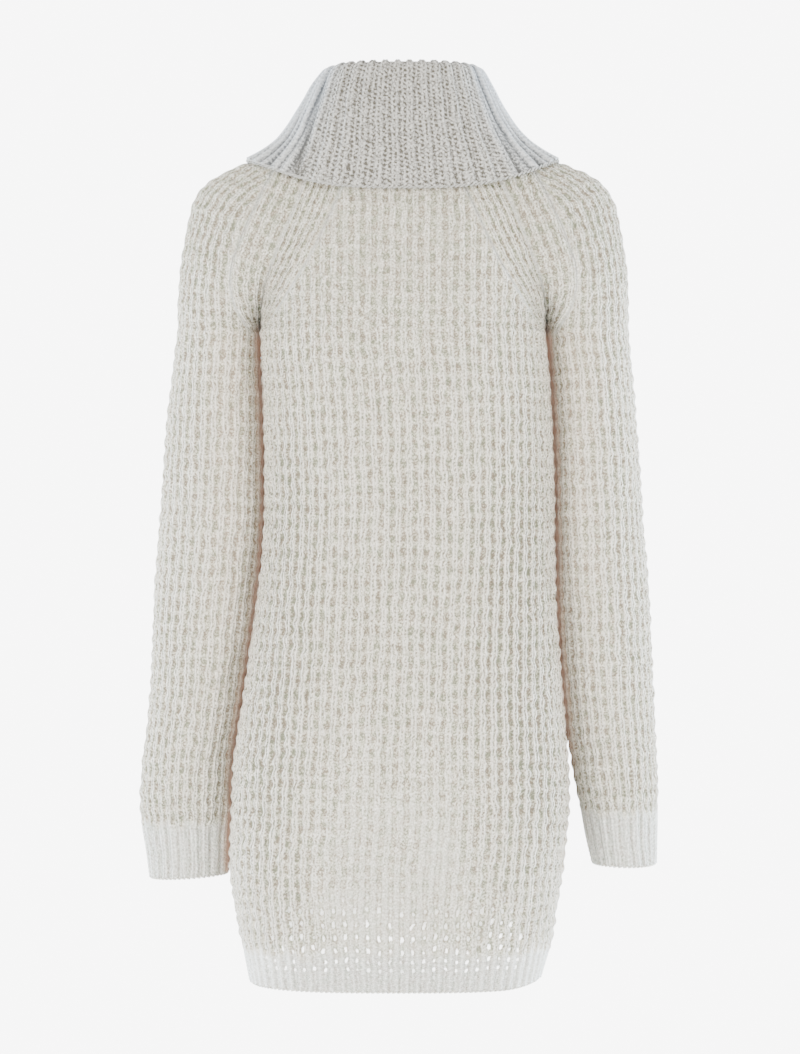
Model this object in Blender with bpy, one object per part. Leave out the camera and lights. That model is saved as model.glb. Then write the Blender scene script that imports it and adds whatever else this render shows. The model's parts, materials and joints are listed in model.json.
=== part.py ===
"""Knitted sweater dress: raglan sleeves, ribbed hem and cuffs, and a folded rib collar.

The dress is held open, as on a wearer. Metres, +Z up. The back of the dress faces -Y, its front
faces +Y, and the origin is the middle of the base of the neck. Each knitted piece is a closed
wall: an outer face worked out from a table of sections, a plain inner face one wall inside it,
and rims along the hem, the cuffs, the seams and the neck.
"""
import math
from collections import namedtuple

import bmesh
import bpy
import numpy as np

# Driving dimensions
WALL = 0.0045                 # thickness of the waffle knit
COLLAR_WALL = 0.0040          # thickness of the collar's rib knit
SEAM_GAP = 0.0003             # between two pieces at a seam
COLLAR_GAP = 0.00065          # between the collar's foot and the neck edge
HEM_RIB_RISE = 0.0014         # of a rib over the furrow beside it
CUFF_RIB_RISE = 0.0013
COLLAR_RIB_RISE = 0.0015
HEM_HEIGHT = -0.806           # of the dress's lower edge
HEM_BAND = 0.034              # height of the ribbed hem
UNDERARM_HEIGHT = -0.165
CUFF_BAND = 0.053             # height of a ribbed cuff
HEM_LIFT = 0.006              # of the hem's right corner
HEM_LIFT_START = 0.095        # along X
HEM_LIFT_REACH = 0.045

# Steps of the grids, all even: an inner face takes every second row, a panel's every second column
PANEL_COLUMNS = 36            # one hem rib for each
HEM_ROWS = 2
BODY_ROWS = 16
YOKE_ROWS = 10
SLEEVE_COLUMNS = 22           # one cuff rib for each
CUFF_ROWS = 2
TUBE_ROWS = 14
COLLAR_PANEL_STEPS = 22       # of the collar's foot along the back and along the front
COLLAR_SLEEVE_STEPS = 16      # and along each sleeve
COLLAR_RIBS = COLLAR_PANEL_STEPS + COLLAR_SLEEVE_STEPS
CURVE_SAMPLES = 240           # points of a section, before it is divided evenly
YOKE_CROWDING = 0.04          # of the yoke's rows towards the underarm and the neck
SEAM_STEP = 0.004             # of rise, to each side of the place where a seam's slope is read
NECK_STEP = 0.02              # of rise, below the neck edge, where its slope is read
CREST_END = 0.40              # rise at which the raglan seam stops being a standing crest
CREST_PARTING = 0.6           # sideways share of each wall's way at the crest's start
SHARP_ANGLE = math.radians(50)

LEFT = -1                     # the sides are where they lie along X
RIGHT = 1
BACK = -1                     # the faces are where they lie along Y
FRONT = 1
PANEL = -1                    # the two owners of a raglan seam
SLEEVE = 1

KNIT_COLOUR = (0.74, 0.72, 0.67, 1.0)
RIB_COLOUR = (0.70, 0.69, 0.66, 1.0)
KNIT_ROUGHNESS = 0.95

# The body below the underarms: a section at each height
BodyRow = namedtuple("BodyRow", "height centre_x half_width back_depth front_depth squareness")
BODY = (
    BodyRow(-0.806, -0.0062, 0.1448, 0.111, 0.107, 3.0),
    BodyRow(-0.772, -0.0055, 0.1520, 0.113, 0.110, 3.0),
    BodyRow(-0.740, -0.0060, 0.1575, 0.115, 0.112, 3.0),
    BodyRow(-0.698, -0.0055, 0.1640, 0.118, 0.115, 2.9),
    BodyRow(-0.642, -0.0020, 0.1660, 0.120, 0.116, 2.8),
    BodyRow(-0.590, -0.0010, 0.1650, 0.119, 0.115, 2.8),
    BodyRow(-0.530, 0.0008, 0.1585, 0.114, 0.110, 2.8),
    BodyRow(-0.470, 0.0030, 0.1520, 0.106, 0.106, 2.8),
    BodyRow(-0.410, 0.0055, 0.1465, 0.099, 0.103, 2.8),
    BodyRow(-0.350, 0.0075, 0.1440, 0.096, 0.103, 2.8),
    BodyRow(-0.290, 0.0070, 0.1435, 0.098, 0.108, 2.8),
    BodyRow(-0.230, 0.0050, 0.1430, 0.101, 0.115, 2.8),
    BodyRow(-0.165, 0.0010, 0.1420, 0.104, 0.118, 2.8),
)

# The yoke over the underarms, with rise 0 at the underarm and 1 at the neck. A sleeve's row runs
# from the back seam over the shoulder's crest to the front seam, as an arc of an ellipse that
# turns by `turn` degrees to each side of the crest. A panel's row runs between the two seams.
YokeRow = namedtuple("YokeRow", "rise centre_x crest_x crest_z seam_x seam_z arm_depth turn arm_y "
                                "back_depth front_depth front_drop")
YOKE = (
    YokeRow(0.00, 0.0010, 0.2250, -0.165, 0.1420, -0.165, 0.0620, 180.0, 0.010, 0.104, 0.118, 0.000),
    YokeRow(0.11, 0.0012, 0.2245, -0.128, 0.1405, -0.146, 0.0660, 150.0, 0.009, 0.105, 0.117, 0.001),
    YokeRow(0.26, 0.0014, 0.2215, -0.092, 0.1355, -0.120, 0.0720, 125.0, 0.008, 0.105, 0.115, 0.002),
    YokeRow(0.40, 0.0016, 0.2155, -0.056, 0.1265, -0.095, 0.0770, 103.0, 0.006, 0.104, 0.111, 0.004),
    YokeRow(0.55, 0.0018, 0.2080, -0.029, 0.1160, -0.069, 0.0810, 88.0, 0.004, 0.101, 0.106, 0.007),
    YokeRow(0.70, 0.0018, 0.1910, -0.0105, 0.1055, -0.044, 0.0805, 80.0, 0.002, 0.096, 0.099, 0.011),
    YokeRow(0.78, 0.0014, 0.1755, -0.0025, 0.0999, -0.030, 0.0778, 77.0, 0.0015, 0.091, 0.095, 0.0135),
    YokeRow(0.86, 0.0008, 0.1545, 0.0055, 0.0940, -0.016, 0.0740, 75.0, 0.001, 0.085, 0.090, 0.016),
    YokeRow(0.94, 0.0003, 0.1180, 0.0132, 0.0860, -0.002, 0.0650, 72.0, 0.0, 0.075, 0.080, 0.020),
    YokeRow(1.00, 0.0, 0.0840, 0.0210, 0.0770, 0.007, 0.0555, 70.0, 0.0, 0.065, 0.069, 0.024),
)
YOKE_SQUARENESS = 2.8
BACK_NECK_DIP = 0.003         # of the neck edge's middle below its corners
FRONT_NECK_DIP = 0.008

# A sleeve below the underarm: a section at each height, from its outer to its inner side
SleeveRow = namedtuple("SleeveRow", "height outer_x inner_x girth centre_y tilt")
SLEEVE_LEFT = (
    SleeveRow(-0.7045, -0.2528, -0.1738, 0.232, 0.012, 0.0028),
    SleeveRow(-0.6800, -0.2560, -0.1714, 0.236, 0.012, 0.0024),
    SleeveRow(-0.6520, -0.2605, -0.1700, 0.256, 0.012, 0.0016),
    SleeveRow(-0.6250, -0.2617, -0.1697, 0.280, 0.012, 0.0008),
    SleeveRow(-0.5900, -0.2590, -0.1682, 0.294, 0.013, 0.0),
    SleeveRow(-0.5300, -0.2523, -0.1593, 0.308, 0.015, 0.0),
    SleeveRow(-0.4700, -0.2497, -0.1506, 0.320, 0.017, 0.0),
    SleeveRow(-0.4100, -0.2472, -0.1426, 0.330, 0.019, 0.0),
    SleeveRow(-0.3500, -0.2425, -0.1381, 0.336, 0.018, 0.0),
    SleeveRow(-0.2900, -0.2378, -0.1379, 0.338, 0.016, 0.0),
    SleeveRow(-0.2300, -0.2328, -0.1394, 0.337, 0.013, 0.0),
    SleeveRow(-0.1990, -0.2288, -0.1412, 0.335, 0.012, 0.0),
    SleeveRow(-0.1650, -0.2240, -0.1410, 0.333, 0.010, 0.0),
)
SLEEVE_RIGHT = (
    SleeveRow(-0.6925, 0.2545, 0.1905, 0.232, 0.008, 0.0003),
    SleeveRow(-0.6700, 0.2550, 0.1850, 0.236, 0.008, 0.0003),
    SleeveRow(-0.6400, 0.2555, 0.1795, 0.256, 0.008, 0.0002),
    SleeveRow(-0.6130, 0.2555, 0.1742, 0.280, 0.010, 0.0),
    SleeveRow(-0.5800, 0.2538, 0.1688, 0.294, 0.012, 0.0),
    SleeveRow(-0.5300, 0.2518, 0.1610, 0.308, 0.014, 0.0),
    SleeveRow(-0.4700, 0.2492, 0.1566, 0.320, 0.016, 0.0),
    SleeveRow(-0.4100, 0.2460, 0.1537, 0.330, 0.017, 0.0),
    SleeveRow(-0.3500, 0.2410, 0.1531, 0.336, 0.017, 0.0),
    SleeveRow(-0.2900, 0.2370, 0.1520, 0.338, 0.015, 0.0),
    SleeveRow(-0.2300, 0.2325, 0.1495, 0.337, 0.013, 0.0),
    SleeveRow(-0.1990, 0.2295, 0.1473, 0.335, 0.012, 0.0),
    SleeveRow(-0.1650, 0.2260, 0.1430, 0.333, 0.010, 0.0),
)
SLEEVES = {LEFT: SLEEVE_LEFT, RIGHT: SLEEVE_RIGHT}

# The collar's shown face, from the neck seam up the stand, over the fold and down the turn-down.
# `spread` says how much wider than the rest the ribs stand at the sides.
CollarRow = namedtuple("CollarRow", "centre_x half_width back_depth front_depth side_z back_z front_z "
                                    "squareness spread")
COLLAR = (
    CollarRow(0.0, 0.0705, 0.0545, 0.0580, 0.046, 0.036, 0.026, 2.2, 0.0),
    CollarRow(0.0, 0.0670, 0.0545, 0.0570, 0.068, 0.064, 0.060, 2.3, 0.0),
    CollarRow(0.0, 0.0660, 0.0560, 0.0580, 0.0885, 0.0885, 0.0885, 2.4, 0.0),
    CollarRow(0.0010, 0.0680, 0.0580, 0.0600, 0.0965, 0.0965, 0.0965, 2.4, 0.0),
    CollarRow(0.0015, 0.0730, 0.0630, 0.0650, 0.1003, 0.1003, 0.1003, 2.4, 0.0),
    CollarRow(0.0015, 0.0785, 0.0685, 0.0705, 0.0983, 0.0983, 0.0983, 2.4, 0.0),
    CollarRow(0.0010, 0.0825, 0.0720, 0.0745, 0.0935, 0.0930, 0.0930, 2.4, 0.0),
    CollarRow(0.0, 0.0900, 0.0760, 0.0795, 0.0820, 0.0790, 0.0780, 2.4, 0.03),
    CollarRow(0.0, 0.0972, 0.0800, 0.0840, 0.0680, 0.0620, 0.0590, 2.5, 0.06),
    CollarRow(0.0, 0.1052, 0.0838, 0.0885, 0.0540, 0.0450, 0.0400, 2.6, 0.10),
    CollarRow(0.0005, 0.1142, 0.0875, 0.0930, 0.0400, 0.0275, 0.0200, 2.7, 0.14),
    CollarRow(0.0015, 0.1255, 0.0910, 0.0970, 0.0270, 0.0095, 0.0, 2.8, 0.18),
    CollarRow(0.0020, 0.1400, 0.0945, 0.1010, 0.0172, -0.0085, -0.0210, 2.9, 0.22),
    CollarRow(0.0020, 0.1540, 0.0975, 0.1050, 0.0100, -0.0265, -0.0420, 3.0, 0.25),
)

# Soft folds down the collar's turn-down: their place round it from the middle of the back, in
# degrees towards +X, how far they reach to each side, and their depth at the lower edge
CollarFold = namedtuple("CollarFold", "angle reach depth")
COLLAR_FOLDS = (
    CollarFold(-52.0, 13.0, 0.0050),
    CollarFold(-78.0, 11.0, -0.0030),
    CollarFold(48.0, 15.0, 0.0035),
    CollarFold(118.0, 16.0, 0.0050),
    CollarFold(-121.0, 16.0, 0.0050),
    CollarFold(180.0, 24.0, 0.0040),
)
FOLD_FIRST_ROW = 6            # of COLLAR, over which the folds begin


def smooth_row(rows, key):
    """Read a table of rows at a key (its first column) on a smooth curve through the rows."""
    keys = np.array([row[0] for row in rows])
    values = np.array(rows, dtype=float)
    slopes = np.gradient(values, keys, axis=0)
    first = int(np.clip(np.searchsorted(keys, key) - 1, 0, len(keys) - 2))
    step = keys[first + 1] - keys[first]
    part = (key - keys[first]) / step
    start, end = values[first], values[first + 1]
    result = ((2 * part ** 3 - 3 * part ** 2 + 1) * start
              + (part ** 3 - 2 * part ** 2 + part) * step * slopes[first]
              + (3 * part ** 2 - 2 * part ** 3) * end
              + (part ** 3 - part ** 2) * step * slopes[first + 1])
    return type(rows[0])(*result)


def unit(vectors):
    """Vectors (in the last axis) made one long."""
    return vectors / np.linalg.norm(vectors, axis=-1, keepdims=True)


def signed_power(values, power):
    """The power of the size of each value, with the value's sign."""
    return np.sign(values) * np.abs(values) ** power


def divide_evenly(line, steps, spread=0.0):
    """Even steps along a line of points, whose first three columns are their places.

    A positive spread narrows the steps at the ends and the middle, and widens those between.
    """
    lengths = np.linalg.norm(np.diff(line[:, :3], axis=0), axis=1)
    distance = np.concatenate(([0.0], np.cumsum(lengths)))
    share = np.linspace(0.0, 1.0, steps + 1)
    share = share - spread * np.sin(4 * math.pi * share) / (4 * math.pi)
    wanted = share * distance[-1]
    return np.stack([np.interp(wanted, distance, column) for column in line.T], axis=1)


def seam_point(side, face, rise):
    """A raglan seam's point: `side` and `face` name the seam, `rise` the place along it."""
    row = smooth_row(YOKE, rise)
    drop = row.front_drop if face == FRONT else 0.0
    depth = row.arm_depth * math.sin(math.radians(row.turn))
    return np.array((row.centre_x + side * row.seam_x, face * depth, row.seam_z - drop))


def sleeve_arc(side, rise):
    """A sleeve's row over the underarm, from the back seam over the crest to the front seam."""
    row = smooth_row(YOKE, rise)
    crest = np.array((row.centre_x + side * row.crest_x, 0.0, row.crest_z))
    seam = np.array((row.centre_x + side * row.seam_x, 0.0, row.seam_z))
    turn = math.radians(row.turn)
    half_width = np.linalg.norm(crest - seam) / (1.0 - math.cos(turn))
    outwards = unit(crest - seam)
    angle = np.linspace(-turn, turn, CURVE_SAMPLES)
    share = angle / turn
    line = crest + half_width * (np.cos(angle) - 1.0)[:, None] * outwards
    line[:, 1] = row.arm_depth * np.sin(angle) + row.arm_y * np.cos(share * math.pi / 2) ** 2
    line[:, 2] -= row.front_drop * np.clip(share, 0.0, 1.0) ** 2
    return line


def sleeve_ring(side, height):
    """A sleeve's closed section below the underarm, starting and ending at its inner side."""
    row = smooth_row(SLEEVES[side], height)
    half_width = abs(row.outer_x - row.inner_x) / 2
    half_depth = math.sqrt(2 * (row.girth / (2 * math.pi)) ** 2 - half_width ** 2)
    angle = np.linspace(-math.pi, math.pi, CURVE_SAMPLES)
    return np.stack([
        (row.outer_x + row.inner_x) / 2 + side * half_width * np.cos(angle),
        half_depth * np.sin(angle) + row.centre_y * np.cos(angle / 2) ** 2,
        row.height - row.tilt * np.cos(angle),
    ], axis=1)


def panel_arc(face, ends, centre_x, depth, squareness, dip):
    """A panel's row between its two side points, bulging to its face by `depth`."""
    halves = []
    for side, end in zip((LEFT, RIGHT), ends):
        reach = abs(end[0] - centre_x)
        half_width = reach / (1.0 - (abs(end[1]) / depth) ** squareness) ** (1 / squareness)
        last = math.asin((reach / half_width) ** (squareness / 2))
        angle = np.linspace(0.0, last, CURVE_SAMPLES // 2)
        across = half_width * np.sin(angle) ** (2 / squareness)
        halves.append(np.stack([
            centre_x + side * across,
            face * depth * np.cos(angle).clip(0.0) ** (2 / squareness),
            end[2] - dip * (1.0 - (across / across[-1]) ** 2),
        ], axis=1))
    return np.concatenate([halves[0][::-1], halves[1][1:]])


def panel_row(face, level):
    """A panel's row. `level` is a height below the underarm, and a rise from 0 to 1 over it."""
    if level < 0.0:
        row = smooth_row(BODY, level)
        ends = [np.array((row.centre_x + side * row.half_width, 0.0, level))
                for side in (LEFT, RIGHT)]
        squareness, dip = row.squareness, 0.0
    else:
        row = smooth_row(YOKE, level)
        ends = [seam_point(side, face, level) for side in (LEFT, RIGHT)]
        squareness = YOKE_SQUARENESS
        dip = (BACK_NECK_DIP if face == BACK else FRONT_NECK_DIP) * level ** 2
    depth = row.back_depth if face == BACK else row.front_depth
    arc = panel_arc(face, ends, row.centre_x, depth, squareness, dip)
    lift = HEM_LIFT * np.clip((HEM_HEIGHT + HEM_BAND - level) / HEM_BAND, 0.0, 1.0)
    arc[:, 2] += lift * np.clip((arc[:, 0] - HEM_LIFT_START) / HEM_LIFT_REACH, 0.0, 1.0) ** 2
    return arc


def yoke_rises():
    """The rises of the yoke's rows, closer together near the underarm and the neck."""
    share = np.linspace(0.0, 1.0, YOKE_ROWS + 1)
    return share - YOKE_CROWDING * np.sin(2 * math.pi * share)


def grid_normals(grid, closed_rows=0):
    """Normals of a grid of points (rows, columns, 3), of which the first rows may be closed."""
    along_row = np.gradient(grid, axis=1)
    ends = (grid[:closed_rows, 1] - grid[:closed_rows, -2]) / 2
    along_row[:closed_rows, 0] = ends
    along_row[:closed_rows, -1] = ends
    return unit(np.cross(along_row, np.gradient(grid, axis=0)))


def seam_frame(side, face, rise, owner):
    """At a raglan seam, the wall's way into the cloth, and the way from the panel to the sleeve.

    The walls of the two owners, PANEL and SLEEVE, part a little where the seam is a crest.
    """
    if rise == 0.0:
        across = np.array((side, 0.0, 0.0))
        return unit(np.array((0.0, 0.0, 1.0)) + owner * CREST_PARTING * across), across
    here = seam_point(side, face, rise)
    low, high = max(rise - SEAM_STEP, 0.0), min(rise + SEAM_STEP, 1.0)
    along = unit(seam_point(side, face, high) - seam_point(side, face, low))
    panel = panel_row(face, rise)
    sleeve = sleeve_arc(side, rise)
    to_panel = unit((panel[3] if side == LEFT else panel[-4]) - here)
    to_sleeve = unit((sleeve[3] if face == BACK else sleeve[-4]) - here)
    crest = max(0.0, 1.0 - rise / CREST_END)
    inwards = unit(side * face * unit(np.cross(along, to_panel))
                   + side * face * unit(np.cross(to_sleeve, along)) + (0.0, 0.0, crest))
    across = unit(np.cross(along, inwards))
    across *= np.sign(across[0]) * side
    return unit(inwards + owner * CREST_PARTING * crest * across), across


def neck_line(row_at, outwards_sign):
    """The neck edge of one piece: its places, and the wall's way into the cloth at each.

    The way lies half between the cloth's own and the level way of the collar's stand.
    """
    edge, below = row_at(1.0), row_at(1.0 - NECK_STEP)
    along = np.gradient(edge, axis=0)
    cloth = unit(np.cross(along, edge - below))
    stand = unit(np.cross(along, (0.0, 0.0, 1.0)))
    return np.concatenate([edge, -outwards_sign * unit(cloth + stand)], axis=1)


def panel_neck(face):
    """The neck edge of the back or the front, from its left to its right corner."""
    return neck_line(lambda rise: panel_row(face, rise), -face)


def sleeve_neck(side):
    """The neck edge of a sleeve, from its back to its front corner."""
    return neck_line(lambda rise: sleeve_arc(side, rise), side)


class Wall:
    """Points and faces of one knitted wall."""

    def __init__(self):
        self.points = []
        self.faces = []

    def add_line(self, line, closed=False):
        """Add a line of points and give their numbers. A closed line ends at its first point."""
        count = len(line) - 1 if closed else len(line)
        first = len(self.points)
        self.points.extend(tuple(point) for point in line[:count])
        numbers = list(range(first, first + count))
        return numbers + numbers[:1] if closed else numbers

    def bridge(self, one, other):
        """Join two lines of numbers, of which one may have a whole multiple of the other's steps."""
        coarse, fine = sorted((one, other), key=len)
        ratio = (len(fine) - 1) // (len(coarse) - 1)
        for step, (low, high) in enumerate(zip(coarse, coarse[1:])):
            run = fine[ratio * step:ratio * (step + 1) + 1]
            if ratio == 1:
                self.faces.append((low, high, run[1], run[0]))
                continue
            middle = ratio // 2
            self.faces.append((low, high, run[middle]))
            for place, pair in enumerate(zip(run, run[1:])):
                self.faces.append((low if place < middle else high, *pair))

    def bridge_all(self, lines):
        """Join each line to the next one."""
        for one, other in zip(lines, lines[1:]):
            self.bridge(one, other)

    def make_object(self, name, material):
        """Make the wall a closed mesh object that faces outwards."""
        mesh = bpy.data.meshes.new(name)
        shape = bmesh.new()
        corners = [shape.verts.new(point) for point in self.points]
        for face in self.faces:
            shape.faces.new([corners[number] for number in face])
        bmesh.ops.triangulate(shape, faces=shape.faces, quad_method="SHORT_EDGE")
        bmesh.ops.recalc_face_normals(shape, faces=shape.faces)
        shape.to_mesh(mesh)
        shape.free()
        mesh.materials.append(material)
        mesh.shade_smooth()
        mesh.set_sharp_from_angle(angle=SHARP_ANGLE)
        piece = bpy.data.objects.new(name, mesh)
        bpy.context.scene.collection.objects.link(piece)
        return piece


def raise_ribs(line, outwards, rise):
    """A line of points with every second one raised, as the top of a rib."""
    raised = line.copy()
    raised[1::2] += rise * outwards[1::2]
    return raised


def finer(grid):
    """A grid with a point added half way along each step of its rows."""
    fine = np.empty((len(grid), 2 * grid.shape[1] - 1, 3))
    fine[:, ::2] = grid
    fine[:, 1::2] = (grid[:, 1:] + grid[:, :-1]) / 2
    return fine


def rib_band(outer, outwards, row_at, levels, rise):
    """The fine lines of a ribbed band, with the outer grid's own points in its furrows.

    The ribs are raised in full at the edge and die out at the band's upper end.
    """
    lines = []
    for row, level in enumerate(levels):
        line = divide_evenly(row_at(level), 2 * (outer.shape[1] - 1))
        line[::2] = outer[row]
        share = 1.0 - 0.7 * (row == len(levels) - 1)
        lines.append(raise_ribs(line, finer(outwards[row:row + 1])[0], share * rise))
    return lines


def build_panel(face, name, material):
    """The back or the front: hem rib, body and yoke, between the side and raglan seams."""
    hem = np.linspace(HEM_HEIGHT, HEM_HEIGHT + HEM_BAND, HEM_ROWS + 1)
    body = np.linspace(HEM_HEIGHT + HEM_BAND, UNDERARM_HEIGHT, BODY_ROWS + 1)
    rises = yoke_rises()
    levels = [*hem[:-1], *body, *rises[1:]]
    underarm = HEM_ROWS + BODY_ROWS
    outer = np.array([divide_evenly(panel_row(face, level), PANEL_COLUMNS) for level in levels])
    inwards = face * grid_normals(outer)
    inwards[-1] = divide_evenly(panel_neck(face), PANEL_COLUMNS)[:, 3:]
    for column, side in ((0, LEFT), (-1, RIGHT)):
        inwards[:underarm, column] = (-side, 0.0, 0.0)
        outer[:underarm + 1, column, 1] += face * SEAM_GAP / 2
        for row, rise in enumerate(rises, start=underarm):
            inwards[row, column], to_sleeve = seam_frame(side, face, rise, PANEL)
            outer[row, column] -= to_sleeve * SEAM_GAP / 2
    inner = (outer + WALL * inwards)[::2, ::2]

    wall = Wall()
    band = rib_band(outer, -inwards, lambda level: panel_row(face, level), hem, HEM_RIB_RISE)
    outer_lines = [wall.add_line(line) for line in [*band, *outer[HEM_ROWS + 1:]]]
    inner_lines = [wall.add_line(line) for line in inner]
    wall.bridge_all(outer_lines)
    wall.bridge_all(inner_lines)
    for end in (0, -1):
        wall.bridge([line[end] for line in outer_lines], [line[end] for line in inner_lines])
        wall.bridge(outer_lines[end], inner_lines[end])
    return wall.make_object(name, material)


def build_sleeve(side, name, material):
    """A raglan sleeve: ribbed cuff, tube, and its yoke, which opens over the underarm."""
    foot = SLEEVES[side][0].height
    cuff = np.linspace(foot, foot + CUFF_BAND, CUFF_ROWS + 1)
    tube = np.linspace(foot + CUFF_BAND, UNDERARM_HEIGHT, TUBE_ROWS + 1)
    rises = yoke_rises()
    underarm = CUFF_ROWS + TUBE_ROWS
    rings = [sleeve_ring(side, height) for height in [*cuff[:-1], *tube[:-1]]]
    arcs = [sleeve_arc(side, rise) for rise in rises]
    outer = np.array([divide_evenly(line, SLEEVE_COLUMNS) for line in rings + arcs])
    inwards = -side * grid_normals(outer, closed_rows=underarm + 1)
    inwards[-1] = divide_evenly(sleeve_neck(side), SLEEVE_COLUMNS)[:, 3:]
    for column, face in ((0, BACK), (-1, FRONT)):
        for row, rise in enumerate(rises, start=underarm):
            inwards[row, column], to_sleeve = seam_frame(side, face, rise, SLEEVE)
            outer[row, column] += to_sleeve * SEAM_GAP / 2
    inner = (outer + WALL * inwards)[::2]

    wall = Wall()
    band = rib_band(outer, -inwards, lambda height: sleeve_ring(side, height), cuff, CUFF_RIB_RISE)
    outer_lines = [wall.add_line(line, closed=row <= underarm)
                   for row, line in enumerate([*band, *outer[CUFF_ROWS + 1:]])]
    inner_lines = [wall.add_line(line, closed=2 * row <= underarm)
                   for row, line in enumerate(inner)]
    wall.bridge_all(outer_lines)
    wall.bridge_all(inner_lines)
    for end in (0, -1):
        wall.bridge([line[end] for line in outer_lines[underarm:]],
                    [line[end] for line in inner_lines[underarm // 2:]])
        wall.bridge(outer_lines[end], inner_lines[end])
    return wall.make_object(name, material)


def collar_ring(row, depth_share):
    """One section of the collar's shown face, from the middle of the back round by +X.

    The soft folds press it in by their depths, times `depth_share`.
    """
    angle = np.linspace(0.0, 2 * math.pi, 2 * CURVE_SAMPLES)
    power = 2 / row.squareness
    depth = np.where(np.cos(angle) > 0, row.back_depth, row.front_depth)
    end_z = np.where(np.cos(angle) > 0, row.back_z, row.front_z)
    ring = np.stack([
        row.centre_x + row.half_width * signed_power(np.sin(angle), power),
        -depth * signed_power(np.cos(angle), power),
        row.side_z + (end_z - row.side_z) * np.cos(angle) ** 2,
    ], axis=1)
    bearing = np.degrees(np.arctan2(ring[:, 0], -ring[:, 1]))
    for fold in COLLAR_FOLDS:
        off = (bearing - fold.angle + 180.0) % 360.0 - 180.0
        press = depth_share * fold.depth * np.exp(-(off / fold.reach) ** 2)
        ring[:, :2] -= press[:, None] * unit(ring[:, :2])
    return ring


def collar_foot():
    """The neck edge of all four pieces in the collar's steps, from the middle of the back by +X.

    The ends of each piece's run are points of the line, so no step cuts across a corner.
    """
    back = divide_evenly(panel_neck(BACK), COLLAR_PANEL_STEPS)
    front = divide_evenly(panel_neck(FRONT), COLLAR_PANEL_STEPS)[::-1]
    right = divide_evenly(sleeve_neck(RIGHT), COLLAR_SLEEVE_STEPS)
    left = divide_evenly(sleeve_neck(LEFT), COLLAR_SLEEVE_STEPS)[::-1]
    middle = COLLAR_PANEL_STEPS // 2
    return np.concatenate([back[middle:], right[1:], front[1:], left[1:], back[1:middle + 1]])


def build_collar(name, material):
    """The collar: a rib tube that stands on the neck edge and is folded outwards over itself."""
    foot = collar_foot()
    foot_line, wall_way = foot[:, :3], foot[:, 3:]
    along = np.roll(foot_line[:-1], -1, axis=0) - np.roll(foot_line[:-1], 1, axis=0)
    up = unit(np.cross(wall_way, np.concatenate([along, along[:1]])))
    up *= np.sign(up[:, 2:])
    stand_outer = foot_line + COLLAR_GAP * up
    stand_inner = stand_outer + COLLAR_WALL * wall_way

    rings = []
    last = len(COLLAR) - 1
    for number, row in enumerate(COLLAR):
        share = max(0.0, (number - FOLD_FIRST_ROW) / (last - FOLD_FIRST_ROW))
        rings.append(divide_evenly(collar_ring(row, share), 2 * COLLAR_RIBS, row.spread))
    shown = np.array([stand_inner, *rings])
    to_hidden = grid_normals(shown, closed_rows=len(shown))
    hidden = shown + COLLAR_WALL * to_hidden
    hidden[0] = stand_outer

    wall = Wall()
    shown_lines = [wall.add_line(raise_ribs(line, -to_hidden[row], COLLAR_RIB_RISE * (row > 0)),
                                 closed=True) for row, line in enumerate(shown)]
    hidden_lines = [wall.add_line(line[::2], closed=True) for line in hidden]
    wall.bridge_all(shown_lines)
    wall.bridge_all(hidden_lines)
    for end in (0, -1):
        wall.bridge(shown_lines[end], hidden_lines[end])
    return wall.make_object(name, material)


def make_material(name, colour):
    """A matt knit material of one colour."""
    material = bpy.data.materials.new(name)
    material.use_nodes = True
    shader = material.node_tree.nodes["Principled BSDF"]
    shader.inputs["Base Color"].default_value = colour
    shader.inputs["Roughness"].default_value = KNIT_ROUGHNESS
    shader.inputs["Metallic"].default_value = 0.0
    return material


def main():
    """Build every piece of the dress."""
    for piece in list(bpy.data.objects):
        bpy.data.objects.remove(piece, do_unlink=True)
    knit = make_material("waffle_knit", KNIT_COLOUR)
    rib = make_material("rib_knit", RIB_COLOUR)
    build_panel(BACK, "back_panel", knit)
    build_panel(FRONT, "front_panel", knit)
    build_sleeve(LEFT, "sleeve_left", knit)
    build_sleeve(RIGHT, "sleeve_right", knit)
    build_collar("collar", rib)


if __name__ == "__main__":
    main()
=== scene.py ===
"""Looks of the knitted sweater dress: stitches, ribs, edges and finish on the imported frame.

Every piece is a thin closed wall on the form of its own solid. Its outer face is a fine grid that
is raised and sunk by the knit; its inner face is plain. Metres, +Z up, the back faces -Y.
"""
from __future__ import annotations

import json
import logging
import math
from collections.abc import Callable, Sequence
from dataclasses import dataclass, field
from enum import IntEnum
from typing import ClassVar, NamedTuple

import bmesh
import bpy
import numpy as np
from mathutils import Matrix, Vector
from mathutils.bvhtree import BVHTree
from numpy.typing import NDArray

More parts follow.
